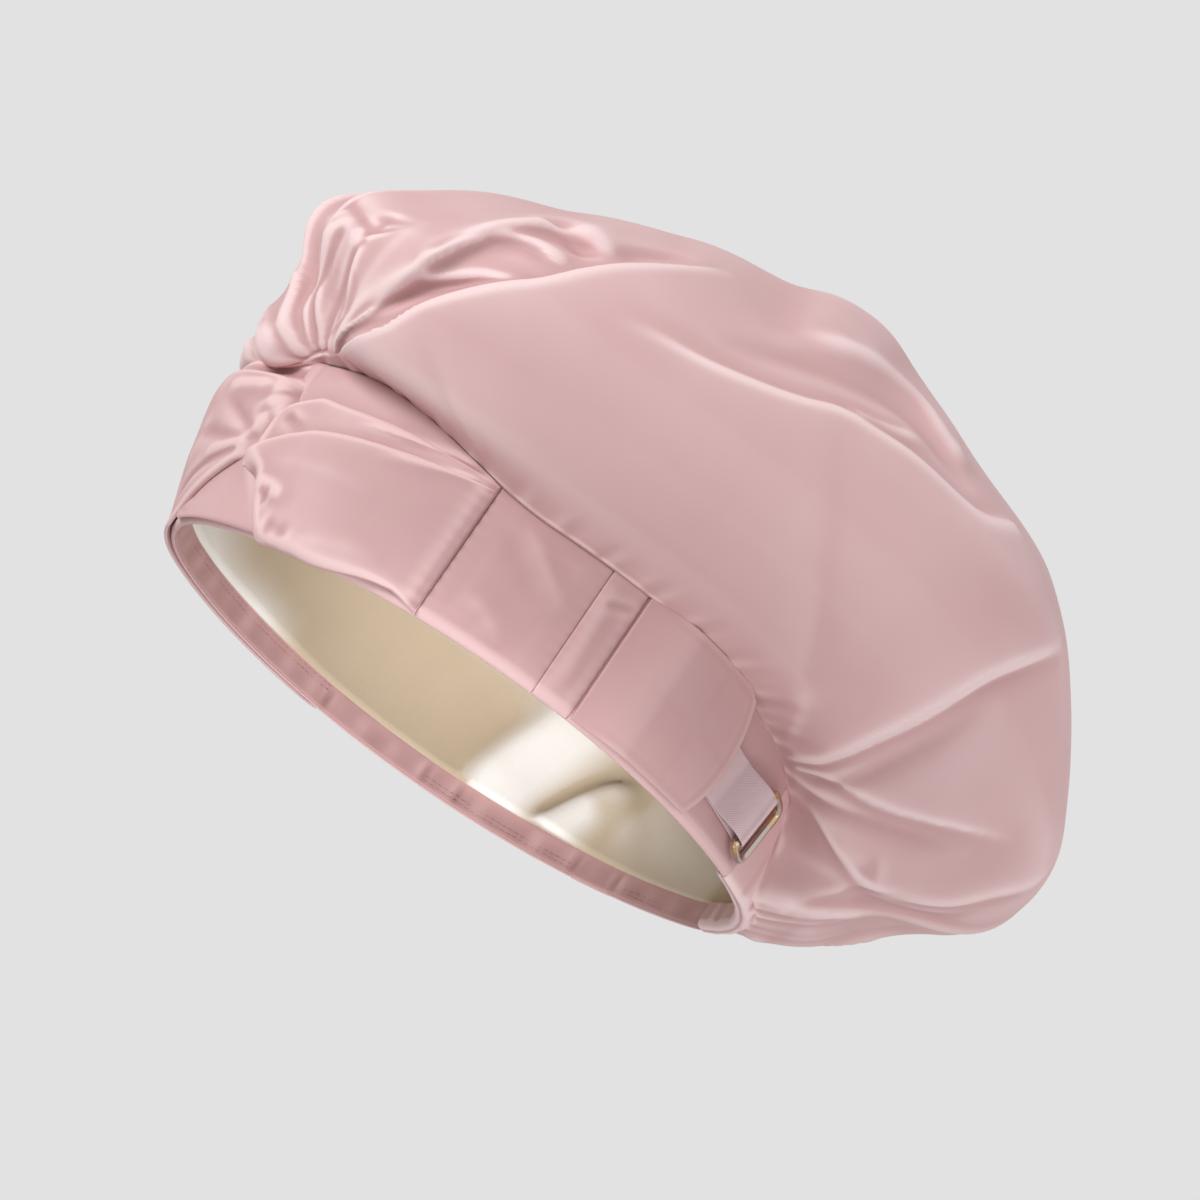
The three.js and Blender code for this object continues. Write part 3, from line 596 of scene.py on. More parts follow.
def crownSurface(along, shares, sag=0.0):
    # each column is a curve from the band's top edge through the rings: a ring's point has a front, side
    # and back reach and height, mixed by powers of the sine of its direction. The lower rings are drawn in
    # beside the two gathers, and behind, the outer cloth starts lower, where it sags over the casing.
    top = band["height"] + crown["rise"]
    bandTurn = bandArc(along)[3]
    sine, onLeft = np.sin(bandTurn), np.cos(bandTurn) > 0  # on the left the ring needs room
    behindBand = sag * smooth(sine, *(np.where(onLeft, *crown[k]) for k in ("sagFrom", "sagTo")))
    footHeight = (bandTop(along) + crown["seamGap"]) * (1 - behindBand) + crown["footLow"] * behindBand
    foot = onBand(along, 0.1 - 0.6 * smooth(sine, 0.38, 0.55), footHeight)
    turn = np.arctan2(foot[:, 1] / halfLength, foot[:, 0] / halfWidth)
    c, s = np.cos(turn), np.sin(turn)
    power = crown["squareness"]
    rounded = (np.abs(c) ** power + np.abs(s) ** power) ** (-1 / power)
    ahead, behind = np.maximum(-s, 0), np.maximum(s, 0)
    drawn = sum(depth * np.exp(-((fromPlace(along, place) / reach) ** 2)) for place, depth, reach in crown["gathers"])
    inwards = -outwardAt(along) * drawn[:, None]
    controls = [foot]
    for k, (frontReach, frontRise, sideReach, sideRise, backReach, backHeight) in enumerate(crown["rings"]):
        front = -frontReach * (halfLength + crown["frontBulge"])
        back = backReach * (halfLength + crown["backBulge"])
        side = sideReach * (halfWidth + crown["sideBulge"])
        frontZ = band["frontHeight"] + (top - band["frontHeight"]) * frontRise
        sideZ = band["height"] + (top - band["height"]) * sideRise
        height = sideZ + (backHeight * top - sideZ) * behind ** (3 if k else 4) + (frontZ - sideZ) * ahead**3
        place = np.stack([side * rounded * c, (front + back) / 2 + (back - front) / 2 * rounded * s, height], -1)
        controls.append(place + inwards * crown["drawnIn"][k])
    return curveThrough(np.stack(controls), shares)


def loopPlaces(count, weight=3.0):
    # columns round the loop, closer together on the left and most of all beside the two gathers
    samples = np.linspace(0, fullLoop, 2001)
    density = 1
    for centre, reach, share in ((frontGather, 0.07, 1.0), (sideGather, 0.07, 0.7), (0, 0.22, 0.5)):
        density = density + share * weight * np.exp(-((fromPlace(samples, centre) / (reach * fullLoop)) ** 2))
    run = np.concatenate([[0], np.cumsum((density[1:] + density[:-1]) / 2)])
    return np.interp(np.arange(count) / count, run / run[-1], samples)


outline = dict(
    middle=(640, 560),  # the pixel that directions are taken from
    pixels=[
        (240, 352), (262, 318), (302, 258), (305, 225), (319, 205), (345, 194), (371, 191), (426, 190), (475, 191),
        (522, 199), (565, 210), (603, 216), (639, 224), (674, 234), (707, 243), (738, 256), (768, 272), (798, 286),
        (833, 294), (864, 310), (891, 333), (911, 363), (930, 391), (951, 421), (971, 452), (993, 484), (1020, 520),
        (1044, 560), (1059, 604), (1068, 651), (1071, 700), (1071, 752), (1067, 807), (1056, 862), (1025, 906),
        (977, 934), (911, 933), (861, 943), (812, 947), (770, 943), (752, 939),
    ],
)


def pictureTurn(places):
    # direction and distance of places in the picture from the outline's middle
    away = places - np.array(outline["middle"])
    return np.mod(np.arctan2(away[..., 1], away[..., 0]), 2 * np.pi), np.hypot(away[..., 0], away[..., 1])


def edgeGaps(grid, bins=360):
    # in each direction, how far the drawn outline lies beyond the grid's own edge
    edges = []
    for places in (seenAt(grid), evenLine(curveThrough(outline["pixels"], np.linspace(0, 1, 900)), 2)):
        turn, reach = pictureTurn(places)
        edge = np.zeros(bins)
        np.maximum.at(edge, np.minimum((turn.ravel() / (2 * np.pi) * bins).astype(int), bins - 1), reach.ravel())
        edges.append(edge)
    own, drawn = edges
    gap = np.where(drawn > 0, (drawn - own) * view["mmPerPixel"], 0)
    for _ in range(10):
        gap = (np.roll(gap, 1) + 2 * gap + np.roll(gap, -1)) / 4
    return own, gap


def meetOutline(grid, shares, gaps, normals=None):
    # moves what the camera sees edge on by the gap there, and fades to nothing where it faces the camera
    # and at the seam
    own, gap = gaps
    normals = gridNormals(grid, True) if normals is None else normals
    turn, reach = pictureTurn(seenAt(grid))
    middles = (np.arange(len(own)) + 0.5) / len(own) * 2 * np.pi
    shift = np.interp(turn, middles, gap, period=2 * np.pi)
    share = reach / np.interp(turn, middles, own, period=2 * np.pi)
    edgeOn = 1 - np.abs((normals * unit(eye - grid)).sum(-1))
    weight = shift * smooth(share, 0.7, 0.97) * smooth(edgeOn, 0.15, 0.75) * smooth(shares, 0.01, 0.09)[:, None]
    across = np.cos(turn)[..., None] * cameraRight - np.sin(turn)[..., None] * cameraUp
    return grid + across * weight[..., None]


crownAlong = loopPlaces(crown["columns"])
crownShares = np.linspace(0, 1, crown["rows"]) ** crown["crowding"]
crownGrid = crownSurface(crownAlong, crownShares, sag=1.0)
outlineGaps = edgeGaps(crownGrid)
crownGrid = meetOutline(crownGrid, crownShares, outlineGaps)
crownNormals = gridNormals(crownGrid, True)


def onCrown(grid, line):
    # the grid at places of (distance along the band, share of the way up), between its four nearest points
    wide = np.concatenate([grid, grid[:, :1]], 1)
    columns = np.interp(np.mod(line[:, 0], fullLoop), np.append(crownAlong, crownAlong[0] + fullLoop),
                        np.arange(len(crownAlong) + 1))
    rows = np.interp(line[:, 1], crownShares, np.arange(len(crownShares)))
    i, j = np.minimum(rows.astype(int), len(crownShares) - 2), np.minimum(columns.astype(int), len(crownAlong) - 1)
    a, b = (rows - i)[:, None], (columns - j)[:, None]
    left, right = (wide[i, k] * (1 - a) + wide[i + 1, k] * a for k in (j, j + 1))
    return left * (1 - b) + right * b


def crownPath(places):
    line = evenLine(curveThrough(places, np.linspace(0, 1, 12 * len(places))), 0.4)
    both = evenLine(np.concatenate([onCrown(crownGrid, line), onCrown(crownNormals, line)], 1), 1)
    return both[:, :3], unit(both[:, 3:])


# folds that the picture shows, as lines of its pixels
crownFolds = [
    # the long arc over the left side, with its inner crease
    fold([(328, 355), (354, 336), (383, 321), (417, 302), (459, 290), (501, 283), (540, 279), (573, 271), (616, 264),
         (658, 266), (700, 269), (745, 274)], 5, 3, 24, (0.14, 0.3), lean=1.8, slim=0.3),
    fold([(336, 350), (354, 333), (375, 327), (400, 316), (430, 303)], -0.8, 1.4, 1.4, (0.1, 0.4), slim=0.4),
    # the upper arc
    fold([(328, 353), (354, 319), (383, 290), (409, 271), (434, 252), (459, 235), (489, 224), (510, 219), (540, 216),
         (556, 217), (575, 222), (596, 232), (612, 248), (626, 264)], 5, 2.8, 13, (0.14, 0.14), lean=2, side=-1,
         slim=0.3),
    # the pleats between them
    fold([(417, 269), (442, 256), (464, 243), (489, 235), (510, 233), (531, 236), (546, 245), (557, 259), (570, 270)],
         2.6, 2.2, 4, (0.2, 0.15), lean=1, side=-1),
    fold([(428, 262), (459, 249), (486, 243), (502, 244)], -1.6, 1.5, 2.4, (0.25, 0.2), side=-1),
    fold([(411, 274), (424, 278), (450, 274), (480, 273), (497, 277), (506, 281), (530, 280)], 1.8, 1.7, 2.8,
         (0.2, 0.2), lean=0.8, side=-1),
    fold([(340, 340), (383, 309), (417, 295), (459, 286), (500, 282)], -3, 3.5, 3.5, (0.15, 0.25), slim=0.3),
    fold([(530, 226), (552, 234), (573, 248), (592, 260)], -2.6, 3.5, 4, (0.35, 0.25)),
    fold([(600, 262), (650, 256), (700, 262)], -1.6, 3, 5, (0.35, 0.4)),
    # the front gather: narrow lobes parted by thin creases
    fold([(319, 354), (318, 322), (320, 294), (327, 270), (336, 248), (342, 228), (344, 214)], -2, 2.2, 2.8,
         (0.05, 0.15), slim=0.6),
    fold([(322, 352), (326, 330), (333, 305), (344, 275), (356, 249), (365, 229)], -1.6, 2, 2.4, (0.05, 0.08),
         slim=0.6),
    fold([(367, 232), (360, 220), (352, 210), (343, 201)], -1.9, 2.4, 3.4, (0.12, 0.05)),
    fold([(316, 352), (308, 320), (306, 290), (304, 262)], -1.5, 2, 2.2, (0.05, 0.2), slim=0.6),
    fold([(313, 354), (302, 338), (290, 322), (280, 308)], -1.2, 2, 2.4, (0.05, 0.3), slim=0.6),
    fold([(311, 356), (288, 352), (268, 345), (254, 338)], -1, 1.8, 2.4, (0.06, 0.3), slim=0.6),
    fold([(314, 335), (313, 300), (316, 265), (324, 235), (333, 216)], 1.6, 4, 4, (0.2, 0.12), slim=0.6),
    fold([(304, 325), (299, 300), (296, 275), (297, 262)], 1.2, 3, 3, (0.2, 0.2), slim=0.6),
    fold([(296, 338), (280, 322), (270, 308), (267, 298)], 1.2, 3.2, 3.2, (0.2, 0.25), slim=0.6),
    fold([(290, 352), (270, 346), (255, 342), (247, 340)], 0.9, 2.6, 3, (0.2, 0.2), slim=0.6),
    fold([(366, 232), (377, 219), (390, 205)], -1.5, 3, 6, (0.15, 0.35)),
    fold([(332, 325), (341, 288), (350, 256), (356, 234), (350, 218)], 1.2, 3.2, 3.2, (0.2, 0.2), slim=0.6),
    fold([(330, 345), (350, 310), (372, 270), (400, 235), (440, 207)], 1.5, 6, 7, (0.2, 0.35), slim=0.5),
    # the crown's back: two bright edges with a hollow between them
    fold([(600, 326), (650, 340), (700, 361), (735, 375), (769, 388), (808, 401), (843, 409), (873, 428), (912, 453),
         (943, 479), (977, 510), (1003, 527), (1024, 531)], 3, 3.2, 15, (0.3, 0.1), lean=0.8),
    fold([(843, 406), (873, 421), (904, 433), (925, 440)], 1.3, 1.8, 2.4, (0.2, 0.3)),
    fold([(700, 338), (756, 353), (808, 367), (873, 397), (908, 423), (943, 462), (977, 497)], -2.4, 6, 6,
         (0.35, 0.2)),
    fold([(787, 327), (821, 335), (860, 348), (886, 362), (912, 384), (925, 397), (960, 449), (977, 475)], 2.4, 4, 7,
         (0.25, 0.15), side=-1),
    fold([(846, 440), (840, 497), (830, 583), (818, 650), (803, 712)], -0.6, 7, 18, (0.35, 0.2), side=-1),
    fold([(820, 560), (806, 640), (792, 712)], 0.5, 6, 14, (0.4, 0.2)),
    # the side gather
    fold([(781, 757), (810, 769), (841, 762), (881, 742), (930, 715), (1001, 671), (1066, 640)], 3.6, 3, 12,
         (0.08, 0.3), lean=1.2, side=-1, slim=0.3),
    fold([(796, 774), (845, 776), (890, 757), (940, 732), (1000, 700)], -2.2, 4, 8, (0.1, 0.4), slim=0.4),
    fold([(788, 767), (823, 782), (868, 802), (921, 818), (974, 829), (1022, 841)], 2.4, 3, 10, (0.08, 0.4), lean=0.6,
         side=-1, slim=0.3),
    fold([(796, 786), (850, 812), (910, 832), (970, 846)], -1.7, 3.5, 6, (0.1, 0.4), slim=0.4),
    fold([(805, 800), (820, 830), (832, 849), (854, 875), (885, 898), (939, 907), (992, 895), (1037, 880),
         (1056, 860)], 2.4, 3.4, 9, (0.12, 0.25), lean=0.6, side=-1, slim=0.4),
    fold([(845, 880), (885, 908), (940, 918), (995, 906)], -1.5, 3, 5, (0.25, 0.4)),
    fold([(770, 908), (800, 918), (841, 914), (877, 924)], 1, 3, 5, (0.3, 0.4)),
    fold([(859, 874), (869, 862), (882, 868)], -0.7, 4, 5, (0.3, 0.3)),
    fold([(785, 745), (797, 728), (806, 700), (812, 670)], 0.6, 4, 6, (0.15, 0.4), slim=0.4),
    fold([(781, 770), (786, 800), (780, 835), (768, 865)], 0.5, 4, 6, (0.25, 0.4)),
]
# folds out of sight: lines of (distance along the band, share of the way up)
farFolds = [
    fold([(-sideArc, 0.0), (-125, 0.1), (-150, 0.25), (-165, 0.42), (-170, 0.6)], 4, 4, 14, (0.15, 0.35), lean=1.2),
    fold([(-sideArc, 0.0), (-118, 0.13), (-128, 0.3), (-138, 0.5), (-170, 0.75)], 4.5, 4, 12, (0.15, 0.35), lean=1.5,
         side=-1),
    fold([(-sideArc, 0.0), (-135, 0.06), (-170, 0.15), (-205, 0.25)], 3.5, 4, 12, (0.15, 0.45), lean=1),
    fold([(-sideArc, 0.0), (-150, 0.03), (-200, 0.08), (-240, 0.12)], 2.2, 3, 8, (0.15, 0.5)),
    fold([(-sideArc, 0.0), (-112, 0.2), (-112, 0.45), (-120, 0.7), (-150, 0.9)], 3.5, 5, 14, (0.15, 0.4), lean=0.8),
    fold([(onRight(88), 0.0), (onRight(70), 0.15), (onRight(45), 0.3), (onRight(10), 0.42)], 4, 4, 13, (0.12, 0.45),
         lean=1.2),
    fold([(onRight(88), 0.0), (onRight(84), 0.18), (onRight(72), 0.38), (onRight(50), 0.6)], 3.8, 4, 12, (0.12, 0.45),
         lean=1, side=-1),
    fold([(onRight(88), 0.0), (onRight(97), 0.16), (onRight(104), 0.34), (onRight(110), 0.55)], 3.4, 4, 12,
         (0.12, 0.45), side=-1, lean=1),
    fold([(onRight(88), 0.0), (onRight(108), 0.1), (onRight(125), 0.2), (onRight(140), 0.3)], 3, 4, 10, (0.12, 0.5)),
    fold([(110, 0.0), (116, 0.12), (124, 0.26), (130, 0.4)], 2.4, 3, 8, (0.12, 0.5)),
    fold([(150, 0.0), (150, 0.12), (146, 0.26), (140, 0.42)], 2.4, 4, 9, (0.12, 0.5)),
    fold([(-60, 0.85), (-20, 0.78), (30, 0.8), (70, 0.88)], 1.6, 10, 16, (0.4, 0.4)),
    fold([(-200, 0.7), (-240, 0.62), (-290, 0.64), (-330, 0.74)], 2, 9, 16, (0.4, 0.4)),
    fold([(-290, 0.3), (-270, 0.42), (-255, 0.58)], 1.8, 8, 14, (0.4, 0.4)),
]


def seamGathers(grid):
    # small pleats where the bag is eased into the band: waves along the seam that die away up the bag,
    # stronger at the back where the elastic draws it in
    along, up = crownAlong, crownShares[:, None]
    behind = np.maximum(np.sin(bandArc(along)[3]), 0) ** 3
    wave = np.sin(2 * np.pi * along / 9.1 + 1.7 * np.sin(along / 23))
    wave = wave + 0.6 * np.sin(2 * np.pi * along / 5.7 + 2 * np.sin(along / 31))
    size = (0.14 + 0.2 * behind) * np.exp(-((up - 0.012) / (0.05 + 0.09 * behind)) ** 2) * smooth(up, 0, 0.012)
    return grid + crownNormals * (size * wave)[..., None]


def settle(grid):
    # the smooth bag's slow unevenness: a few long waves of small height
    x, y, z = np.moveaxis(grid, -1, 0)
    wave = 0.7 * np.sin(x / 31 + y / 23 + 1.3) + 0.6 * np.sin(y / 37 - z / 19 + 0.4)
    wave = wave + 0.4 * np.sin(z / 13 + x / 41 + 2.1)
    return grid + crownNormals * (wave * smooth(crownShares, 0.03, 0.15)[:, None])[..., None]


paths = seenPaths(crownFolds, crownGrid, crownNormals) + [(crownPath(fold["line"]), fold) for fold in farFolds]
crownOuter = seamGathers(pressFolds(settle(crownGrid), crownNormals, paths))
for _ in range(2):  # the folds' own height has moved the outline
    crownOuter = meetOutline(crownOuter, crownShares, edgeGaps(crownOuter), crownNormals)
tuck = crown["tuck"] * (1 - 0.9 * smooth(crownAlong, 48, 60) * (1 - smooth(crownAlong, 106, 114)))
crownOuter = crownOuter - crownNormals * (tuck * np.exp(-((lengths(crownGrid) / 0.9) ** 2)))[..., None]
innerShares = np.linspace(0, 1, crown["innerRows"]) ** crown["crowding"]
crownInner = crownSurface(crownAlong, innerShares)
innerNormals = gridNormals(crownInner, True)
crownInner = meetOutline(crownInner, innerShares, outlineGaps)
innerDepth = crown["thickness"] + crown["innerGap"] * smooth(innerShares, 0.0, 0.1)
crownInner = crownInner - innerNormals * innerDepth[:, None, None]


def fadedRidges(grid, normals):
    # ridges, without those of the narrow cells round the top
    return ridges(grid, normals, True) * smooth(np.arange(len(grid))[::-1], 5, 40)[:, None]


def bagPiece(name, outer, inner, along, slot, material, node, **sheet):
    # two closed grids joined at the foot, each closed at the top with a fan to its middle
    columns = outer.shape[1]
    faces, uvs, points = [], [], []
    wide = np.append(along, along[0] + fullLoop)
    j = np.arange(columns)
    k = (j + 1) % columns
    for grid, order in ((outer, 1), (inner, -1)):
        offset = sum(len(p) for p in points)
        quads, cornerRows, cornerColumns = faceGrid(len(grid), columns, True)
        up = np.concatenate([[0], np.cumsum(np.linalg.norm(np.diff(grid, axis=0), axis=-1).mean(1))])
        uv = np.stack([wide[cornerColumns], up[cornerRows]], -1)
        crest = (len(grid) - 1) * columns
        fan = np.stack([crest + j, crest + k, np.full(columns, crest + columns)], 1)
        fanUv = np.stack([np.stack([wide[j], wide[j + 1], wide[j]], 1), np.full((columns, 3), up[-1])], -1)
        faces += (quads[:, ::order] + offset).tolist() + (fan[:, ::order] + offset).tolist()
        uvs += [uv[:, ::order].reshape(-1, 2), fanUv[:, ::order].reshape(-1, 2)]
        points.append(np.concatenate([grid.reshape(-1, 3), grid[-1].mean(0)[None]]))
    shift = len(points[0])
    faces += np.stack([k, j, j + shift, k + shift], 1).tolist()
    footUv = np.stack([wide[j + 1], wide[j], wide[j], wide[j + 1]], 1)
    uvs.append(np.stack([footUv, np.zeros((columns, 4))], -1).reshape(-1, 2))
    # painted highlight and painted shade from the outer grid's ridges; the inner layer and its top get none
    ridge = np.append(fadedRidges(outer, gridNormals(outer, True)).ravel(), np.zeros(len(points[1]) + 1))
    return makePiece(name, np.concatenate(points), faces, "cap", slot, material, node,
                     uv=np.concatenate(uvs), ridge=ridge, **sheet)


bagPiece("crown", crownOuter, crownInner, crownAlong, "crown_cloth", cloth["coatedCloth"], "crown_shell",
         flat=(0.39, 0.46), held="gathered", rests_on=["lining"], area=0.14)
print("crown made")


# lining

lining = dict(
    thickness=1.2, gap=4.4, footGap=1.7, layerGap=0.3, hemOverlap=0.5, loose=2.8, ripple=0.9, ripples=9,
    columns=300, rows=130, wallRows=18,
)
liningAlong = loopPlaces(lining["columns"], weight=0.5)
wallMiddle = -band["cloth"] - lining["layerGap"] - lining["thickness"] / 2
footRise = crown["thickness"] + lining["thickness"] + lining["footGap"]
wallLow = band["hemHeight"] - lining["hemOverlap"]
wallShare = np.linspace(0, 1, lining["wallRows"])[:, None]
liningWall = onBand(liningAlong, wallMiddle, wallLow + (bandTop(liningAlong) + footRise - wallLow) * wallShare)
liningShares = (np.linspace(0, 1, lining["rows"]) ** crown["crowding"])[3:]
liningDome = meetOutline(crownSurface(liningAlong, liningShares), liningShares, outlineGaps)
domeDepth = crown["thickness"] + lining["gap"] + lining["thickness"] / 2
liningDome = liningDome - gridNormals(liningDome, True) * domeDepth
liningMiddle = np.concatenate([liningWall, liningDome])
for _ in range(6):  # eases the turn from the wall to the dome
    rounder = (np.roll(liningMiddle, 1, 0) + 2 * liningMiddle + np.roll(liningMiddle, -1, 0)) / 4
    turnRows = slice(lining["wallRows"] - 4, lining["wallRows"] + 8)
    liningMiddle[turnRows] = rounder[turnRows]
inwards = -gridNormals(liningMiddle, True)
liningFolds = [
    fold([(446, 806), (470, 784), (505, 752), (554, 721), (590, 700)], 4, 6, 22, (0.3, 0.25), lean=1),
    fold([(520, 836), (550, 818), (580, 802), (612, 789), (650, 795)], 4, 3.5, 14, (0.2, 0.25), lean=1.5),
    fold([(385, 620), (400, 655), (416, 690), (430, 720)], -1.8, 16, 16, (0.4, 0.4)),
    fold([(215, 560), (250, 590), (290, 640), (330, 700)], 1.6, 12, 14, (0.4, 0.4)),
]
# where the picture shows the lining catch the light, and where it lies in shade
# these paint highlight and shade into the lining's colour and don't move its cloth
liningPaintedLight = [
    fold([(480, 812), (520, 785), (560, 752), (600, 715)], 1.1, 13, 15, (0.02, 0.02), side=-1, power=2.4),
    fold([(540, 850), (562, 838), (586, 820), (604, 806)], 1, 6, 6, (0.1, 0.3), power=2.2),
    fold([(178, 530), (205, 568), (245, 612), (297, 662)], 1.1, 9, 12, (0.02, 0.3), power=2),
    fold([(180, 525), (225, 530), (270, 545)], 0.8, 16, 16, (0.02, 0.6), power=2),
    fold([(630, 815), (665, 842), (700, 866), (725, 885)], 0.45, 12, 12, (0.1, 0.1), power=2),
    fold([(531, 826), (575, 800), (626, 784)], -0.8, 2.5, 3, (0.2, 0.2), power=2),
    fold([(425, 800), (450, 770), (490, 715), (510, 690)], -0.3, 10, 10, (0.2, 0.2), power=2),
]
ripple = 0.5 + 0.5 * np.cos(2 * np.pi * lining["ripples"] * liningAlong / fullLoop + 1.1 * np.sin(liningAlong / 40))
rise = np.concatenate([np.zeros(lining["wallRows"]), liningShares])[:, None]
loose = smooth(rise, 0.03, 0.25) * (lining["loose"] + lining["ripple"] * ripple * (1 - smooth(rise, 0.4, 0.9)))
unfolded = liningMiddle + inwards * loose[..., None]
liningInner = pressFolds(unfolded, inwards, seenPaths(liningFolds, liningMiddle, inwards))
tooFar = np.maximum(((unfolded - liningInner) * inwards).sum(-1) - 0.6 * loose, 0)  # never out through the wall
liningInner = liningInner + inwards * tooFar[..., None]
liningInner = liningInner - gridNormals(liningInner, True) * lining["thickness"] / 2
liningOuter = np.concatenate([liningWall[:-1:5], liningDome[::9]])
liningOuter = liningOuter + gridNormals(liningOuter, True) * lining["thickness"] / 2
liningPiece = bagPiece(
    "lining", liningOuter, liningInner, liningAlong, "lining_cloth", cloth["liningCloth"], "crown_lining",
    flat=(0.38, 0.45), held="gathered", rests_on=["rimFacing"], area=0.135)
# the seen side is the inner one, so it carries the painted light: highlight and shade from half its ridges plus the
# painted zones
tones = pressFolds(liningMiddle, inwards, seenPaths(liningPaintedLight, liningMiddle, inwards)) - liningMiddle
ridge = 0.5 * fadedRidges(liningInner, -gridNormals(liningInner, True)) + (tones * inwards).sum(-1)
ridge = np.concatenate([np.zeros(len(liningOuter) * lining["columns"] + 1), ridge.ravel(), [0]])
liningPiece.data.attributes["ridge"].data.foreach_set("value", ridge.astype(np.float32))
print("lining made")


# band panels

def bandPanel(name, node, start, end, proud=0.0, soft=0.5, folds=()):
    # the loop's outer face from seam to seam. It rounds inwards at the hem by a quarter circle, puffs
    # between its seams by a product of sines, and puckers beside them.
    hem, length = band["hemBend"], end - start
    share = edged(max(int(length / 0.8), 10), length, band["edgeWidth"])
    along = start + band["seamGap"] / 2 + share * (length - band["seamGap"])
    level = edged(48, band["height"], 0.6)[:, None]
    thickness = band["cloth"] + proud
    run = level * (bandTop(along) - 0.1 + hem * (np.pi / 2 - 1) - thickness / 2)
    bend = np.clip(run / hem, 0, np.pi / 2)
    height = thickness / 2 + hem * (1 - np.cos(bend)) + np.maximum(run - hem * np.pi / 2, 0)
    share = (along - along[0]) / (along[-1] - along[0])
    puff = np.minimum(1, 6 * share * (1 - share)) * np.minimum(1, 8 * level * (1 - level))
    wave = 0.5 * np.sin(along / 7.3 + 0.6) * np.sin(height / 9 + 1) + 0.5 * np.sin(along / 11 - height / 7)
    pucker = sum(np.exp(-np.abs(along - seam) / 2.4) * np.sin(height / 0.62 + seam + 0.8 * np.sin(height / 3))
                 for seam in (start, end))
    swell = soft * (puff * 0.7 - 0.7 + 0.3 * wave * puff + 0.1 * pucker)
    middle = onBand(along, proud - thickness / 2 - hem * (1 - np.sin(bend)) + swell, height)
    if folds:
        middle = foldedBy(folds, middle)
    tops = bandTop(along)
    clothPiece(name, middle, thickness, "cap", "band_cloth", cloth["bandCloth"], node,
               uv=np.stack(np.broadcast_arrays(along, height), -1), edgeWidth=band["edgeWidth"],
               flat=((tops.max() + 3) / 1000, (length + 2) / 1000), held="stretched", rests_on=["lining"],
               area=(tops.mean() + 2) * (length + 1) / 1e6)


sideFolds = [
    fold([(522, 515), (536, 550), (556, 600), (562, 625)], 0.5, 3, 6, (0.4, 0.4)),
    fold([(500, 520), (515, 560), (535, 615)], -0.35, 4, 5, (0.4, 0.4)),
    fold([(450, 590), (480, 610), (500, 650)], 0.5, 4, 6, (0.4, 0.4)),
]
keeperFolds = [
    fold([(617, 585), (600, 612), (575, 655), (548, 695)], 0.35, 2.5, 3, (0.3, 0.3)),
    fold([(603, 603), (618, 608), (634, 612)], -0.4, 0.8, 0.8, (0.2, 0.2)),
]
leftFront, leftKeeper = -band["frontSeam"], band["keeperFront"]
leftStrap = leftKeeper + band["keeperWidth"]
rightFront, rightMiddle = onRight(-band["frontSeam"]), onRight(band["keeperFront"])
rightKeeper, rightKeeperEnd = onRight(band["rightKeeper"]), onRight(band["rightKeeper"] + band["rightKeeperWidth"])
rightEnd = onRight(band["rightEnd"])
bandPanel("frontPanel", "front_panel", rightFront - fullLoop, leftFront)
bandPanel("sidePanelLeft", "side_panel_left", leftFront, leftKeeper, folds=sideFolds)
bandPanel("keeperLeft", "keeper_left", leftKeeper, leftStrap, proud=0.5, folds=keeperFolds)
bandPanel("rearPanelLeft", "rear_panel_left", leftStrap, band["leftEnd"], soft=0.12)
bandPanel("rearEndRight", "rear_end_right", rightEnd, rightKeeperEnd)
bandPanel("keeperRight", "keeper_right", rightKeeperEnd, rightKeeper, proud=0.8)
bandPanel("rearPanelRight", "rear_panel_right", rightKeeper, rightMiddle)
bandPanel("sidePanelRight", "side_panel_right", rightMiddle, rightFront)
print("band panels made")


# casing, elastic and hem facing

casing = dict(channel=2.6, pucker=0.55, puckers=6, ease=9.0, thickness=1.1, endGap=0.15)


def casingMiddle():
    # a J-shaped section, down the outside, round the rim and up the inside, with waves along it
    start, end = band["leftEnd"] + casing["endGap"], rightEnd - casing["endGap"]
    share = edged(170, end - start, 0.6)
    along = start + share * (end - start)
    wave = 0.5 - 0.5 * np.cos(2 * np.pi * casing["puckers"] * share)
    fine = 0.1 * np.sin(2 * np.pi * casing["puckers"] * 1.7 * share + 1)
    ease = smooth(along - start, casing["ease"], 2 * casing["ease"]) * smooth(end - along, 1, 8)
    pucker = casing["pucker"] * (0.8 * wave + fine) * ease
    top = bandTop(along) + 0.4
    half, inside = band["cloth"] / 2, -band["cloth"] - casing["channel"]
    controls = [
        (-half, top), (-half + 0.3 * pucker, 0.75 * top), (-half + pucker, 0.5 * top), (-half + pucker, 0.22 * top),
        (-half + 0.8 * pucker - 0.4, half + 0.3), (0.5 * (inside - band["cloth"]) + 0.4, half),
        (inside - half - 0.5 * pucker + 0.4, half + 0.3), (inside - half - 0.7 * pucker, 3.5),
        (inside - half - 0.5 * pucker, band["hemHeight"]),
    ]
    controls = np.array([np.stack(np.broadcast_arrays(*c, along)[:2], -1) for c in controls])
    section = curveThrough(controls, np.linspace(0, 1, 64))
    return onBand(along, section[..., 0], section[..., 1])[::-1]


clothPiece("backCasing", casingMiddle(), casing["thickness"], "cap", "band_cloth", cloth["coatedCloth"],
           "back_casing", flat=(0.045, 0.085), held="gathered", rests_on=["lining"], area=0.0027)


def stripPlaces(look, start, end, columns, rows):
    # distances along the loop, shares of the way up and heights of a strip that follows it
    width, half = look["high"] - look["low"], look["thickness"] / 2
    level = edged(rows, width, half)[:, None]
    return start + edged(columns, end - start, half) * (end - start), level, look["low"] + level * width


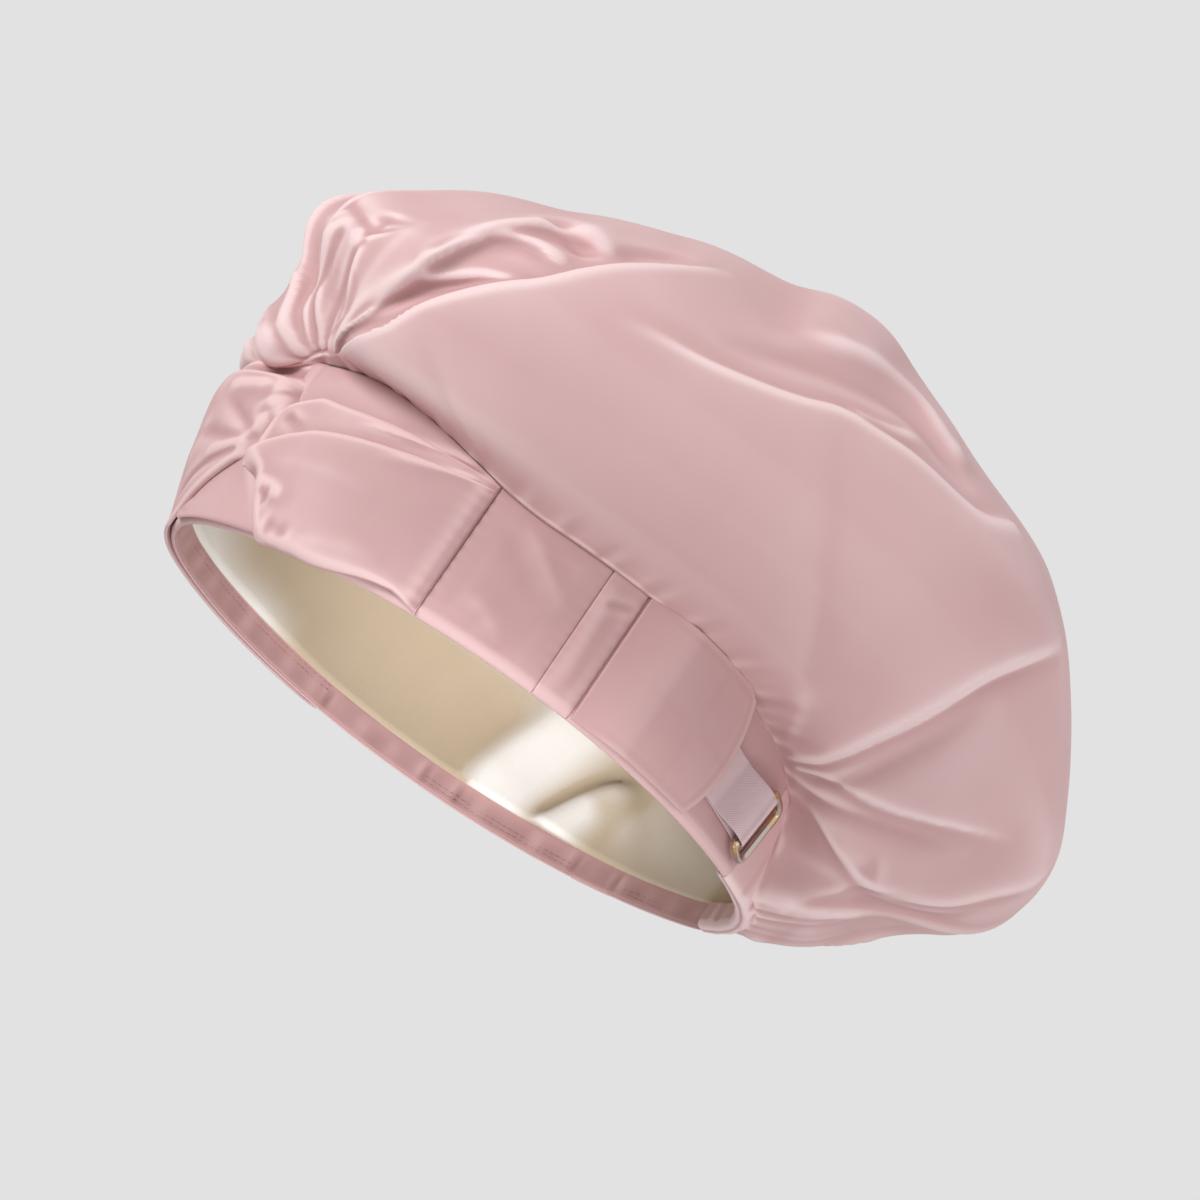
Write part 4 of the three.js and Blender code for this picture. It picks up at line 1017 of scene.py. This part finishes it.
elastic = dict(outward=-2.5, low=1.5, high=8.5, thickness=1.8, endGap=1.2)
along, level, height = stripPlaces(elastic, band["leftEnd"] + elastic["endGap"], rightEnd - elastic["endGap"], 90, 10)
clothPiece("backElastic", onBand(along, elastic["outward"], height), elastic["thickness"], "cap", "elastic",
           cloth["elasticCloth"], "back_elastic",
           flat=(0.01, 0.062), held="stretched", rests_on=["backCasing"], area=0.00045)

# the hem's strip, pulled in by its seams on the right side
facing = dict(outward=-2.1, low=0.7, high=9.0, thickness=1.0, endGap=0.15, seams=[-33.5, 5.0, 17.0, 60, 75.5])
along, level, height = stripPlaces(
    facing, rightEnd + facing["endGap"], band["leftEnd"] + fullLoop - facing["endGap"], 620, 12)
dip = sum(np.exp(-((along - onRight(place)) / 0.7) ** 2) for place in facing["seams"])
ruffle = 0.18 * np.sin(along / 3.1) * np.sin(along / 17.0) + 0.12 * np.sin(along / 1.7 + 2)
facingMiddle = onBand(along, facing["outward"] + (0.6 * dip + ruffle) * np.sin(np.pi * level), height)
clothPiece("rimFacing", facingMiddle, facing["thickness"], "cap", "band_cloth", cloth["facingCloth"],
           "rim_facing", flat=(0.01, 0.495), held="stretched", rests_on=["lining"], area=0.0047)
print("casing and facing made")


# front wraps

def lineOver(pixels, outward, along, low, high, ease=12):
    # a drawn line's height at each distance along the band, evened out. The places under its pixels are
    # looked up on the band's face moved outwards.
    places, heights = np.meshgrid(np.linspace(low, high, 400), np.linspace(-8, 66, 240))
    seen = seenAt(onBand(places, outward, heights))
    line = curveThrough(pixels, np.linspace(0, 1, 6 * len(pixels)))
    nearest = [np.argmin(((seen - p) ** 2).sum(-1)) for p in line]
    places, heights = places.ravel()[nearest], heights.ravel()[nearest]
    order = np.argsort(places)
    return np.interp(along, places[order], eased(heights[order], ease))


wrapLeft = dict(
    thickness=0.9, bulge=7.0, tuck=4.0,
    lowerEdge=[(253, 449), (273, 442), (306, 434), (335, 435), (368, 441), (405, 451), (454, 467), (499, 486)],
    upperEdge=[(286, 412), (295, 407), (318, 401), (330, 402), (343, 408), (381, 420), (417, 436), (462, 461),
        (500, 482)],
    foot=[(265, 545), (286, 553), (310, 564), (331, 570), (356, 574), (384, 584), (397, 593), (417, 613)],
    # for each row of the section, where it ends, how far out it lies, and its height as a share of the way
    # from one line to the next, a step over a line, or a share of the tuck under it
    sections=[
        (-83, 0.30, "foot", "lower", 0.00), (-86, 0.72, "foot", "lower", 0.05), (-90, 0.92, "foot", "lower", 0.20),
        (-94, 1.00, "foot", "lower", 0.42), (-98, 1.00, "foot", "lower", 0.62), (-104, 0.98, "foot", "lower", 0.82),
        (-107, 0.90, "lower", "over", -0.9), (-107.6, 0.76, "lower", "over", -0.1),
        (-107.8, 0.64, "lower", "over", -0.9), (-107.8, 0.58, "lower", "tuck", 0.6),
        (-107.8, 0.50, "lower", "tuck", 1.0), (-107.8, 0.46, "lower", "tuck", 0.5),
        (-107.8, 0.62, "lower", "upper", 0.50), (-107.8, 0.62, "upper", "over", -0.8),
        (-107.8, 0.50, "upper", "over", 0.0), (-107.8, 0.40, "upper", "over", -0.9),
        (-107.8, 0.30, "upper", "tuck", 0.7), (-108, 0.22, "upper", "tuck", 0.3), (-109, 0.24, "upper", "top", 0.50),
        (-110, 0.12, "upper", "top", 0.97),
    ],
)


def wrapLeftSurface(look):
    # a section of stacked rolls: up the lower panel, over its edge, back down behind it, up to the next
    # edge, down again and up to the seam. Each row runs along the band from the seam to its own end.
    seam = leftFront - 0.3
    run = edged(120, 66, look["thickness"] / 2)
    ends = np.array([k[0] for k in look["sections"]])[:, None]
    along = seam + run * (ends - seam)
    top = bandTop(along) - 0.4
    foot = np.clip(lineOver(look["foot"], 4, along, -88, seam + 2), -2.6, 3)
    lower = np.minimum(lineOver(look["lowerEdge"], 6, along, -108, seam + 2), top - 1.6)
    upper = np.clip(lineOver(look["upperEdge"], 4.5, along, -108, seam + 2), lower + 0.8, top - 0.8)
    bulge = 0.5 + look["bulge"] * smooth(run, 0, 0.75)
    tuck = 0.4 + look["tuck"] * smooth(run, 0.02, 0.5)
    rolled = 0.38 + 0.62 * np.sqrt(smooth(1 - run, 0.0, 0.07))
    lines = dict(foot=foot, lower=lower, upper=upper, top=top)
    heights = []
    for k, (_, _, low, high, share) in enumerate(look["sections"]):
        if high == "over":  # a height over the line
            heights.append(lines[low][k] + share)
        elif high == "tuck":  # a share of the tuck's depth under it
            heights.append(lines[low][k] - share * tuck)
        else:
            heights.append(lines[low][k] + share * (lines[high][k] - lines[low][k]))
    sewn = 1.0 * np.exp(-((along - seam) / 3.0) ** 2)
    out = 0.75 - sewn + rolled * bulge * np.array([k[1] for k in look["sections"]])[:, None]
    along, out, height = np.moveaxis(curveThrough(np.stack([along, out, heights], -1), np.linspace(0, 1, 190)), -1, 0)
    pucker = 0.09 * np.exp(-np.abs(along - seam) / 2.6) * np.sin(height / 0.62 + 0.8 * np.sin(height / 3))
    return onBand(along, out + pucker, height)


wrapLeftFolds = [
    fold([(254, 482), (266, 482), (277, 487), (280, 497), (273, 505)], 1, 2.2, 4, (0.3, 0.3)),
    fold([(257, 492), (265, 494), (270, 499)], -0.6, 2, 2, (0.3, 0.3)),
    fold([(262, 522), (276, 528), (290, 538)], -0.5, 2.5, 3, (0.3, 0.4)),
    fold([(262, 456), (300, 464), (345, 480), (380, 505)], 0.6, 5, 8, (0.3, 0.5)),
    fold([(275, 545), (310, 540), (350, 550), (385, 565)], 0.4, 4, 5, (0.4, 0.4)),
    fold([(497, 484), (450, 470), (410, 462), (370, 452)], 0.4, 1.6, 2.4, (0.2, 0.4)),
    fold([(496, 481), (450, 459), (410, 444), (375, 430)], -0.6, 1.4, 1.4, (0.2, 0.4)),
    fold([(490, 478), (440, 452), (400, 437), (350, 423)], 0.6, 1.5, 2.5, (0.2, 0.4)),
    fold([(286, 414), (298, 424), (309, 431)], -0.7, 1.2, 1.5, (0.2, 0.3)),
]
clothPiece("wrapLeft", foldedBy(wrapLeftFolds, wrapLeftSurface(wrapLeft)[:, ::-1]), wrapLeft["thickness"],
           "cap", "wrap_cloth", cloth["wrapCloth"], "wrap_left",
           flat=(0.095, 0.075), held="gathered", rests_on=["frontPanel"], area=0.0068)

wrapRight = dict(
    end=-103.6, thickness=0.9, footFrom=-137.0, footRise=22.4, edge=46.3,
    heights=[-2, 0, 4, 12, 20, 28, 36, 44, 50, 58], swell=[0.0, 0.1, 0.8, 3.5, 6.0, 8.0, 10.0, 11.4, 11.0, 9.0],
    # where each row ends beyond the knot's line
    ends=[20, 12, 2.5, 0.4, 0, 0.2, 0.9, 2.6, 2.2, 0.9, 0, -0.4, -0.5, -0.5, -0.5, -0.5, -0.5, -0.5],
    # rows of the lower roll, the bulge, the upper roll and the strip behind it
    lowerRoll=[(1.3, -1.5), (0.1, -0.8), (0.5, 0.1)], shares=[0.1, 0.25, 0.42, 0.6, 0.76, 0.9],
    upperRoll=[(0.0, -0.6), (-0.4, -1.6), (-0.9, -2.5), (0.8, -2.8)], strip=[(0.45, 1.0), (0.8, 0.85), (1.0, 0.3)],
)


def wrapRightSurface(look):
    # one broad sheet from the right seam to the knot: flat along the rim, behind its rolled lower edge, up
    # over the bulge to a rolled upper edge, and behind that to the seam. Its lower edge rises to the knot
    # with a power of the way.
    seam = rightFront - fullLoop + 0.3
    run = edged(230, look["end"] - seam, look["thickness"] / 2)
    along = seam + run * (look["end"] + np.array(look["ends"])[:, None] - seam)
    knotward = np.clip((along - look["footFrom"]) / (look["end"] - look["footFrom"]), 0, 1.02)
    foot = 0.3 + look["footRise"] * knotward**1.15
    top = bandTop(along) - 0.3
    edge = np.minimum(look["edge"], top - 3.5)
    near = smooth(along, -132, -107)
    swollen = 0.08 + 0.92 * smooth(run, 0, 0.42)
    rolled = 0.2 + 0.8 * np.sqrt(smooth(1 - run, 0.0, 0.045))
    layer = 0.25 + 0.75 * swollen
    byRim = smooth(foot, 1.5, 6)
    places = []

    def bulge(height):
        k = len(places)
        out = np.interp(height, look["heights"], look["swell"]) * (1 - near[k] * (0.17 + 0.27 * smooth(height, 22, 44)))
        return out * swollen * (1 + 0.05 * np.sin(along[k] / 9))

    low, t = foot[0], byRim[0]
    height = (low + 4.5) * (1 - t) + 0.5 * t
    places.append((height, (bulge(height) - 1.6 * layer) * (1 - t)))
    low, t = foot[1], byRim[1]
    height = (low + 2.6) * (1 - t) + (0.45 * low + 0.5) * t
    places.append((height, (bulge(height) - 1.5 * layer) * (1 - t) + 0.4 * np.maximum(bulge(low) - 1.6, 0) * t))
    for beyond, back in look["lowerRoll"]:
        low = foot[len(places)]
        places.append((low + beyond, bulge(low) + back * layer))
    for share in look["shares"]:
        low, high = foot[len(places)], edge[len(places)]
        height = low + (high - low) * share
        places.append((height, bulge(height)))
    for beyond, back in look["upperRoll"]:
        high = edge[len(places)]
        places.append((high + beyond, bulge(high) + back * layer))
    flattened = 1 - 0.95 * smooth(run, 0.72, 0.94)
    for share, size in look["strip"]:
        k = len(places)
        out = bulge(edge[k]) * (0.78 - 0.38 * near[k]) * size * flattened
        places.append((edge[k] + (top[k] - edge[k]) * share, out))
    height, out = (np.array([p[k] for p in places]) for k in (0, 1))
    out = 0.75 - 0.9 * np.exp(-((along - seam) / 3.0) ** 2) + rolled * np.maximum(out, 0)
    section = curveThrough(np.stack([along, out, height], -1), np.linspace(0, 1, 154))
    return onBand(section[..., 0], section[..., 1], section[..., 2])


def wrapPath(fold):
    # a line of (distance along the band, height) laid on the wrap
    along, height = evenLine(curveThrough(fold["line"], np.linspace(0, 1, 60)), 1).T
    return (onBand(along, 8, height), outwardAt(along)), fold


wrapRightFolds = [
    fold([(176, 503), (190, 480), (207, 464), (230, 451), (250, 446)], -0.9, 1.5, 1.8, (0.2, 0.15)),
    fold([(254, 446), (232, 438), (214, 432), (200, 434)], -1.2, 3, 4, (0.1, 0.4), slim=0.5),
    fold([(258, 444), (252, 426), (238, 404), (228, 392)], -1, 3, 4, (0.1, 0.4), slim=0.5),
    fold([(268, 440), (272, 424), (266, 400)], -0.8, 2.5, 3.5, (0.15, 0.35), slim=0.5),
    fold([(276, 430), (284, 412), (286, 392)], 0.7, 2.5, 3.5, (0.15, 0.3), slim=0.5),
    fold([(230, 385), (255, 382), (280, 384)], 0.8, 2.5, 3, (0.3, 0.3)),
    fold([(250, 446), (226, 446), (204, 454)], 0.9, 2, 3, (0.15, 0.4)),
    fold([(215, 405), (200, 440), (185, 470)], 0.5, 4, 6, (0.3, 0.3)),
]
farWrapFolds = [
    fold([(-142, 34), (-165, 37), (-195, 38), (-232, 36)], 1.4, 2.5, 6, (0.2, 0.3)),
    fold([(-140, 24), (-165, 26), (-200, 28), (-232, 27)], 1.4, 2.5, 6, (0.2, 0.3), side=-1),
    fold([(-142, 13), (-175, 15), (-210, 18), (-232, 18)], 1.2, 2.5, 5, (0.2, 0.3)),
]
wrapMiddle = foldedBy(wrapRightFolds, wrapRightSurface(wrapRight))
wrapMiddle = pressFolds(wrapMiddle, gridNormals(wrapMiddle, False), [wrapPath(fold) for fold in farWrapFolds])
clothPiece("wrapRight", wrapMiddle, wrapRight["thickness"], "cap", "wrap_cloth", cloth["wrapCloth"], "wrap_right",
           flat=(0.075, 0.145), held="gathered", rests_on=["frontPanel"], area=0.0098)
print("wraps made")


# strap

strap = dict(
    start=17.6, reach=59.3, bulge=4.7, thickness=1.0, endLow=0.4, inset=0.5, liftStart=17.6, liftEnd=35.0,
    pad=0.8, padEnd=59.4, padLength=20, padWidth=14, tapeWidth=17.0, tape=0.6, tail=48.0, foldBack=44.0, ease=12.0,
    tilt=math.radians(8), gap=0.3, bar=84.5, barHeight=16.0, wire=2.4,
)
tapeOver = strap["gap"] * 2 + strap["tape"]
padUnder = tapeOver + strap["tape"] + strap["gap"]
tongueUnder = padUnder + strap["pad"] + strap["gap"]
barOutward = strap["gap"] * 2 + 2 * strap["tape"] + strap["wire"] / 2
tiltCos, tiltSin = math.cos(strap["tilt"]), math.sin(strap["tilt"])


def onStrap(along, outward, across):
    # steps along and across the strap from the ring's bar, tilted and laid on the band
    return onBand(strap["bar"] + along * tiltCos + across * tiltSin, outward,
                  strap["barHeight"] - along * tiltSin + across * tiltCos)


def tongueMiddle():
    # the panel narrows to its round end and lifts off the band in a smooth step
    level, run = edged(60, 40, 0.5)[:, None], edged(80, 45, 0.5)
    reach = strap["reach"] + strap["bulge"] * np.sin(np.pi * level) ** 0.8
    along = strap["start"] + run * (reach - strap["start"])
    share = (along - strap["start"]) / (strap["reach"] - strap["start"])
    low = strap["inset"] + (strap["endLow"] - strap["inset"]) * smooth(share, 0.6, 1)
    high = bandTop(along) + 0.9 - 1.6 * smooth(share, 0.9, 1)
    lift = strap["gap"] + (tongueUnder - strap["gap"]) * smooth(along, strap["liftStart"], strap["liftEnd"])
    soft = 0.35 * np.sin(along / 9 + 1) * np.sin(level * 5 + 0.7) * smooth(along, 25, 40)
    middle = onBand(along, lift + strap["thickness"] / 2 + np.maximum(soft, 0), low + (high - low) * level)
    edge = fromEdge(middle)
    border = np.exp(-(((edge - 0.9) / 0.7) ** 2)) - np.exp(-(((edge - 2.3) / 0.5) ** 2))
    return middle + gridNormals(middle, False) * (0.05 * border * smooth(along, 22, 30))[..., None]


clothPiece("strapTongue", tongueMiddle(), strap["thickness"], "tongue", "band_cloth", cloth["tongueCloth"],
           "strap_tongue", flat=(0.042, 0.047), held="laid", rests_on=["rearPanelLeft"])
padAlong = strap["padEnd"] - strap["bar"] + (edged(30, strap["padLength"], 0.4) - 1) * strap["padLength"]
padAcross = (edged(22, strap["padWidth"], 0.4) - 0.5) * strap["padWidth"]
clothPiece("hookPad", onStrap(padAlong, padUnder + strap["pad"] / 2, padAcross[:, None]), strap["pad"],
           "tongue", "hook_tape", cloth["hookCloth"], "tongue_hook_pad",
           flat=(0.0142, 0.0202), held="laid", rests_on=["strapTongue"])


def tapeMiddle():
    # along the band, up to the bar, half a turn round it and back under, as one path across the width
    wire, tape = strap["wire"], strap["tape"]
    radius = wire / 2 + strap["gap"] + tape / 2

    def layer(length, side, level):
        back = np.linspace(-wire, -length, 60)
        fall = smooth(-back, wire, strap["ease"] + wire)
        start = barOutward + side * radius
        return np.stack([back, start + (level - start) * fall], -1)

    turn = np.pi / 2 - np.pi * np.linspace(0, 1, 22)[1:-1]
    bend = np.stack([radius * np.cos(turn), barOutward + radius * np.sin(turn)], -1)
    over, under = layer(strap["foldBack"], 1, tapeOver + tape / 2), layer(strap["tail"], -1, strap["gap"] + tape / 2)
    path = evenLine(np.concatenate([over[::-1], bend, under]), 0.35)
    first, last = path[1] - path[0], path[-2] - path[-1]
    path = np.concatenate([path[:1], path[:1] + first * 0.1, path[:1] + first * 0.4, path[1:-1],
                           path[-1:] + last * 0.4, path[-1:] + last * 0.1, path[-1:]])
    across = ((edged(16, strap["tapeWidth"], tape / 2) - 0.5) * strap["tapeWidth"])[:, None]
    return onStrap(path[:, 0], path[:, 1], across), np.stack(np.broadcast_arrays(lengths(path), across), -1)


tapeGrid, tapeUv = tapeMiddle()
clothPiece("ribbonLoop", tapeGrid, strap["tape"], "tape", "ribbon", cloth["ribbonCloth"], "tape_loop", uv=tapeUv,
           flat=(0.017, 0.096), held="folded", rests_on=["rearPanelLeft"])

ring = dict(height=23.0, width=11.0, barCorner=2.8, farCorner=5.0, sides=20)


def ringPiece():
    # a circle carried round a rounded rectangle that leans from the bar to the band
    radius = strap["wire"] / 2
    run, rise = ring["width"] - strap["wire"], (ring["height"] - strap["wire"]) / 2
    near, far = ring["barCorner"] - radius, ring["farCorner"] - radius
    corners = [((0, rise - near), (0, rise), (near, rise)), ((run - far, rise), (run, rise), (run, rise - far)),
               ((run, far - rise), (run, -rise), (run - far, -rise)), ((near, -rise), (0, -rise), (0, near - rise))]
    t = np.linspace(0, 1, 15)[:, None]
    shape = np.concatenate([(1 - t) ** 2 * np.array(a) + 2 * t * (1 - t) * np.array(b) + t**2 * np.array(c)
                            for a, b, c in corners])
    shape = evenLine(np.concatenate([shape, shape[:1]]), 0.35)[:-1]
    outwards, up = outwardAt(strap["bar"]), np.array([0, 0, 1.0])
    level = np.cross(up, outwards)
    across, forward = up * tiltCos + level * tiltSin, level * tiltCos - up * tiltSin
    fall = sideRadius - math.sqrt(sideRadius**2 - run**2)
    lean = math.atan2(barOutward + fall - radius - strap["gap"], run)
    slope = forward * math.cos(lean) - outwards * math.sin(lean)
    path = onBand(strap["bar"], barOutward, strap["barHeight"]) + shape[:, :1] * slope + shape[:, 1:] * across
    tangent = unit(np.roll(path, -1, 0) - np.roll(path, 1, 0))
    normal = np.cross(slope, across)
    beside = unit(np.cross(tangent, normal))
    angle = (2 * np.pi * np.arange(ring["sides"]) / ring["sides"])[:, None]
    grid = path[:, None] + radius * (np.cos(angle) * beside[:, None] + np.sin(angle) * normal)
    rows, sides = grid.shape[:2]
    i, j = cells(rows, sides)
    after, beyond = (i + 1) % rows * sides, (j + 1) % sides
    faces = np.stack([i * sides + j, i * sides + beyond, after + beyond, after + j], 1)
    points = grid.reshape(-1, 3)
    a, b, c = (points[faces[:, k]] - path.mean(0) for k in range(3))
    if (a * np.cross(b, c)).sum() < 0:  # a volume below 0 means that the faces look inwards
        faces = faces[:, ::-1]
    makePiece("adjusterRing", points, faces.tolist(), "ring", "ring_metal", platedWire, "adjuster_ring")


ringPiece()
print("strap made")


# stitches

stitch = dict(length=1.5, gap=0.5, radius=0.13, rings=4, sides=6, outward=-2.66)


def stitchRow(name, behindFrom, behindTo, height):
    # one small closed capsule repeated on the inner side of the hem, between two distances behind the middle
    # of the right side: rings of a thin body whose radius follows a half circle
    along = np.linspace(onRight(behindFrom), onRight(behindTo), 200)
    line = np.concatenate([onBand(along, stitch["outward"], height), -outwardAt(along)], 1)
    even = evenLine(line, stitch["length"] + stitch["gap"])
    centres, out = even[:, None, None, :3], unit(even[:, None, None, 3:])
    forward = unit(np.gradient(centres, axis=0))
    beside = unit(np.cross(out, forward))
    rings, sides, radius = stitch["rings"], stitch["sides"], stitch["radius"]
    run = np.cos(np.pi * (np.arange(rings) + 0.5) / rings)[:, None, None]
    size, lift = np.sqrt(1 - run**2) * radius, 0.25 * radius * (1 - run**2)
    angle = (2 * np.pi * np.arange(sides) / sides)[:, None]
    body = (centres + forward * (run * stitch["length"] / 2) + out * (lift + size * np.sin(angle))
            + beside * (size * np.cos(angle)))
    ends = [(centres + forward * k * stitch["length"] / 2)[:, 0] for k in (1, -1)]
    each = np.concatenate([body.reshape(len(even), -1, 3), *ends], 1)
    quads, j = faceGrid(rings, sides, True)[0][:, [0, 3, 2, 1]], np.arange(sides)
    k, last = (j + 1) % sides, (rings - 1) * sides
    first = np.stack([np.full(sides, rings * sides), j, k], 1)
    second = np.stack([np.full(sides, rings * sides + 1), last + k, last + j], 1)
    faces = []
    for shift in np.arange(len(even)) * (rings * sides + 2):
        for part in (quads, first, second):
            faces += (part + shift).tolist()
    makePiece(name, each.reshape(-1, 3), faces, "cap", "band_cloth", cloth["threadCloth"])


for k, (behindFrom, behindTo, low) in enumerate([(-110, -35.5, 6.2), (6.5, 58.5, 2.2), (77.5, 97, 2.2)]):
    for row, height in (("low", low), ("high", low + 1.4)):
        stitchRow(f"hemStitches{k + 1}{row}", behindFrom, behindTo, height)
print("stitches made")


# floor and light

def mixedOutput(tree, factor, first, second, node, socket):
    # one shader or another by a factor, into a material's or the world's output
    mix = addNode(tree, "MixShader", {0: factor, 1: first.outputs[0], 2: second.outputs[0]})
    feed(tree, tree.nodes[node], {socket: mix.outputs[0]})


backdrop = dict(colour=linear(226, 226, 226), floorDrop=0.0036, light=(1, 1, 1, 1), strength=0.42)


def floorPiece(look):
    bpy.ops.mesh.primitive_plane_add(size=14, location=(0, 0, -look["floorDrop"]))
    floor = bpy.context.object
    floor.name = "floor"
    material, tree, shader, calc = newMaterial(
        "floorPaint", Roughness=0.9, Specular_IOR_Level=0.1, Base_Color=look["colour"])
    rays, side = addNode(tree, "LightPath").outputs, addNode(tree, "NewGeometry").outputs
    seen = calc("MAXIMUM", rays["Is Camera Ray"], rays["Is Glossy Ray"])
    shown = calc("MULTIPLY", seen, calc("SUBTRACT", 1.0, side["Backfacing"]))
    mixedOutput(tree, shown, addNode(tree, "BsdfTransparent"), shader, "Material Output", "Surface")
    floor.data.materials.append(material)


def studioWorld(look):
    # an even grey for the light, and the backdrop's own grey where the camera or a reflection sees it
    world = bpy.data.worlds.new("studio")
    world.use_nodes = True
    tree = world.node_tree
    calc, light = calculator(tree), tree.nodes["Background"]
    feed(tree, light, {"Color": look["light"], "Strength": look["strength"]})
    grey = addNode(tree, "Background", {"Color": look["colour"], "Strength": 1.0})
    rays = addNode(tree, "LightPath").outputs
    seen = calc("MAXIMUM", calc("MAXIMUM", rays["Is Camera Ray"], rays["Is Glossy Ray"]), rays["Is Transmission Ray"])
    mixedOutput(tree, seen, light, grey, "World Output", "Surface")
    bpy.context.scene.world = world


floorPiece(backdrop)
studioWorld(backdrop)


def lamp(name, direction, distance, size, power, colour=(1, 1, 1), centre=(0, 0.02, 0.08), beam=None, stretch=1.0):
    # a square soft box that faces the cap from a direction, or a spot with a beam of so many degrees,
    # stretched sideways
    data = bpy.data.lights.new(name, "SPOT" if beam else "AREA")
    data.energy, data.color = power, colour
    if beam:
        data.shadow_soft_size, data.spot_size, data.spot_blend = size, math.radians(beam), 0.7
    else:
        data.size = size
    light = bpy.data.objects.new(name, data)
    bpy.context.collection.objects.link(light)
    out = unit(np.array(direction, float))
    across = unit(np.cross([0.1, 0.05, 1.0], out))
    light.matrix_world = placed((across * stretch, np.cross(out, across), out), np.array(centre) + out * distance)


lamp("keyLight", 0.7 * cameraUp - 0.5 * cameraRight + 0.45 * toCamera, 1.6, 0.7, 16.5)
lamp("backLight", 0.5 * cameraUp + 0.8 * cameraRight + 0.1 * toCamera, 1.7, 0.8, 5)
lamp("fillLight", toCamera + 0.6 * cameraRight - 0.4 * cameraUp, 1.9, 1.4, 7.5)
lamp("openingLight", -0.9 * cameraUp + 0.2 * cameraRight + 0.3 * toCamera, 1.5, 0.5, 4.5, (1, 0.99, 0.98))
# a narrow beam through the head opening, for the bright lining
lamp("hollowLight", (0.707, -0.05, -0.707), 1.2, 0.03, 75, (0.97, 0.98, 1), centre=(0, 0, 0), beam=5.8, stretch=1.45)
print("light made")

bpy.context.scene.view_settings.view_transform = "Standard"
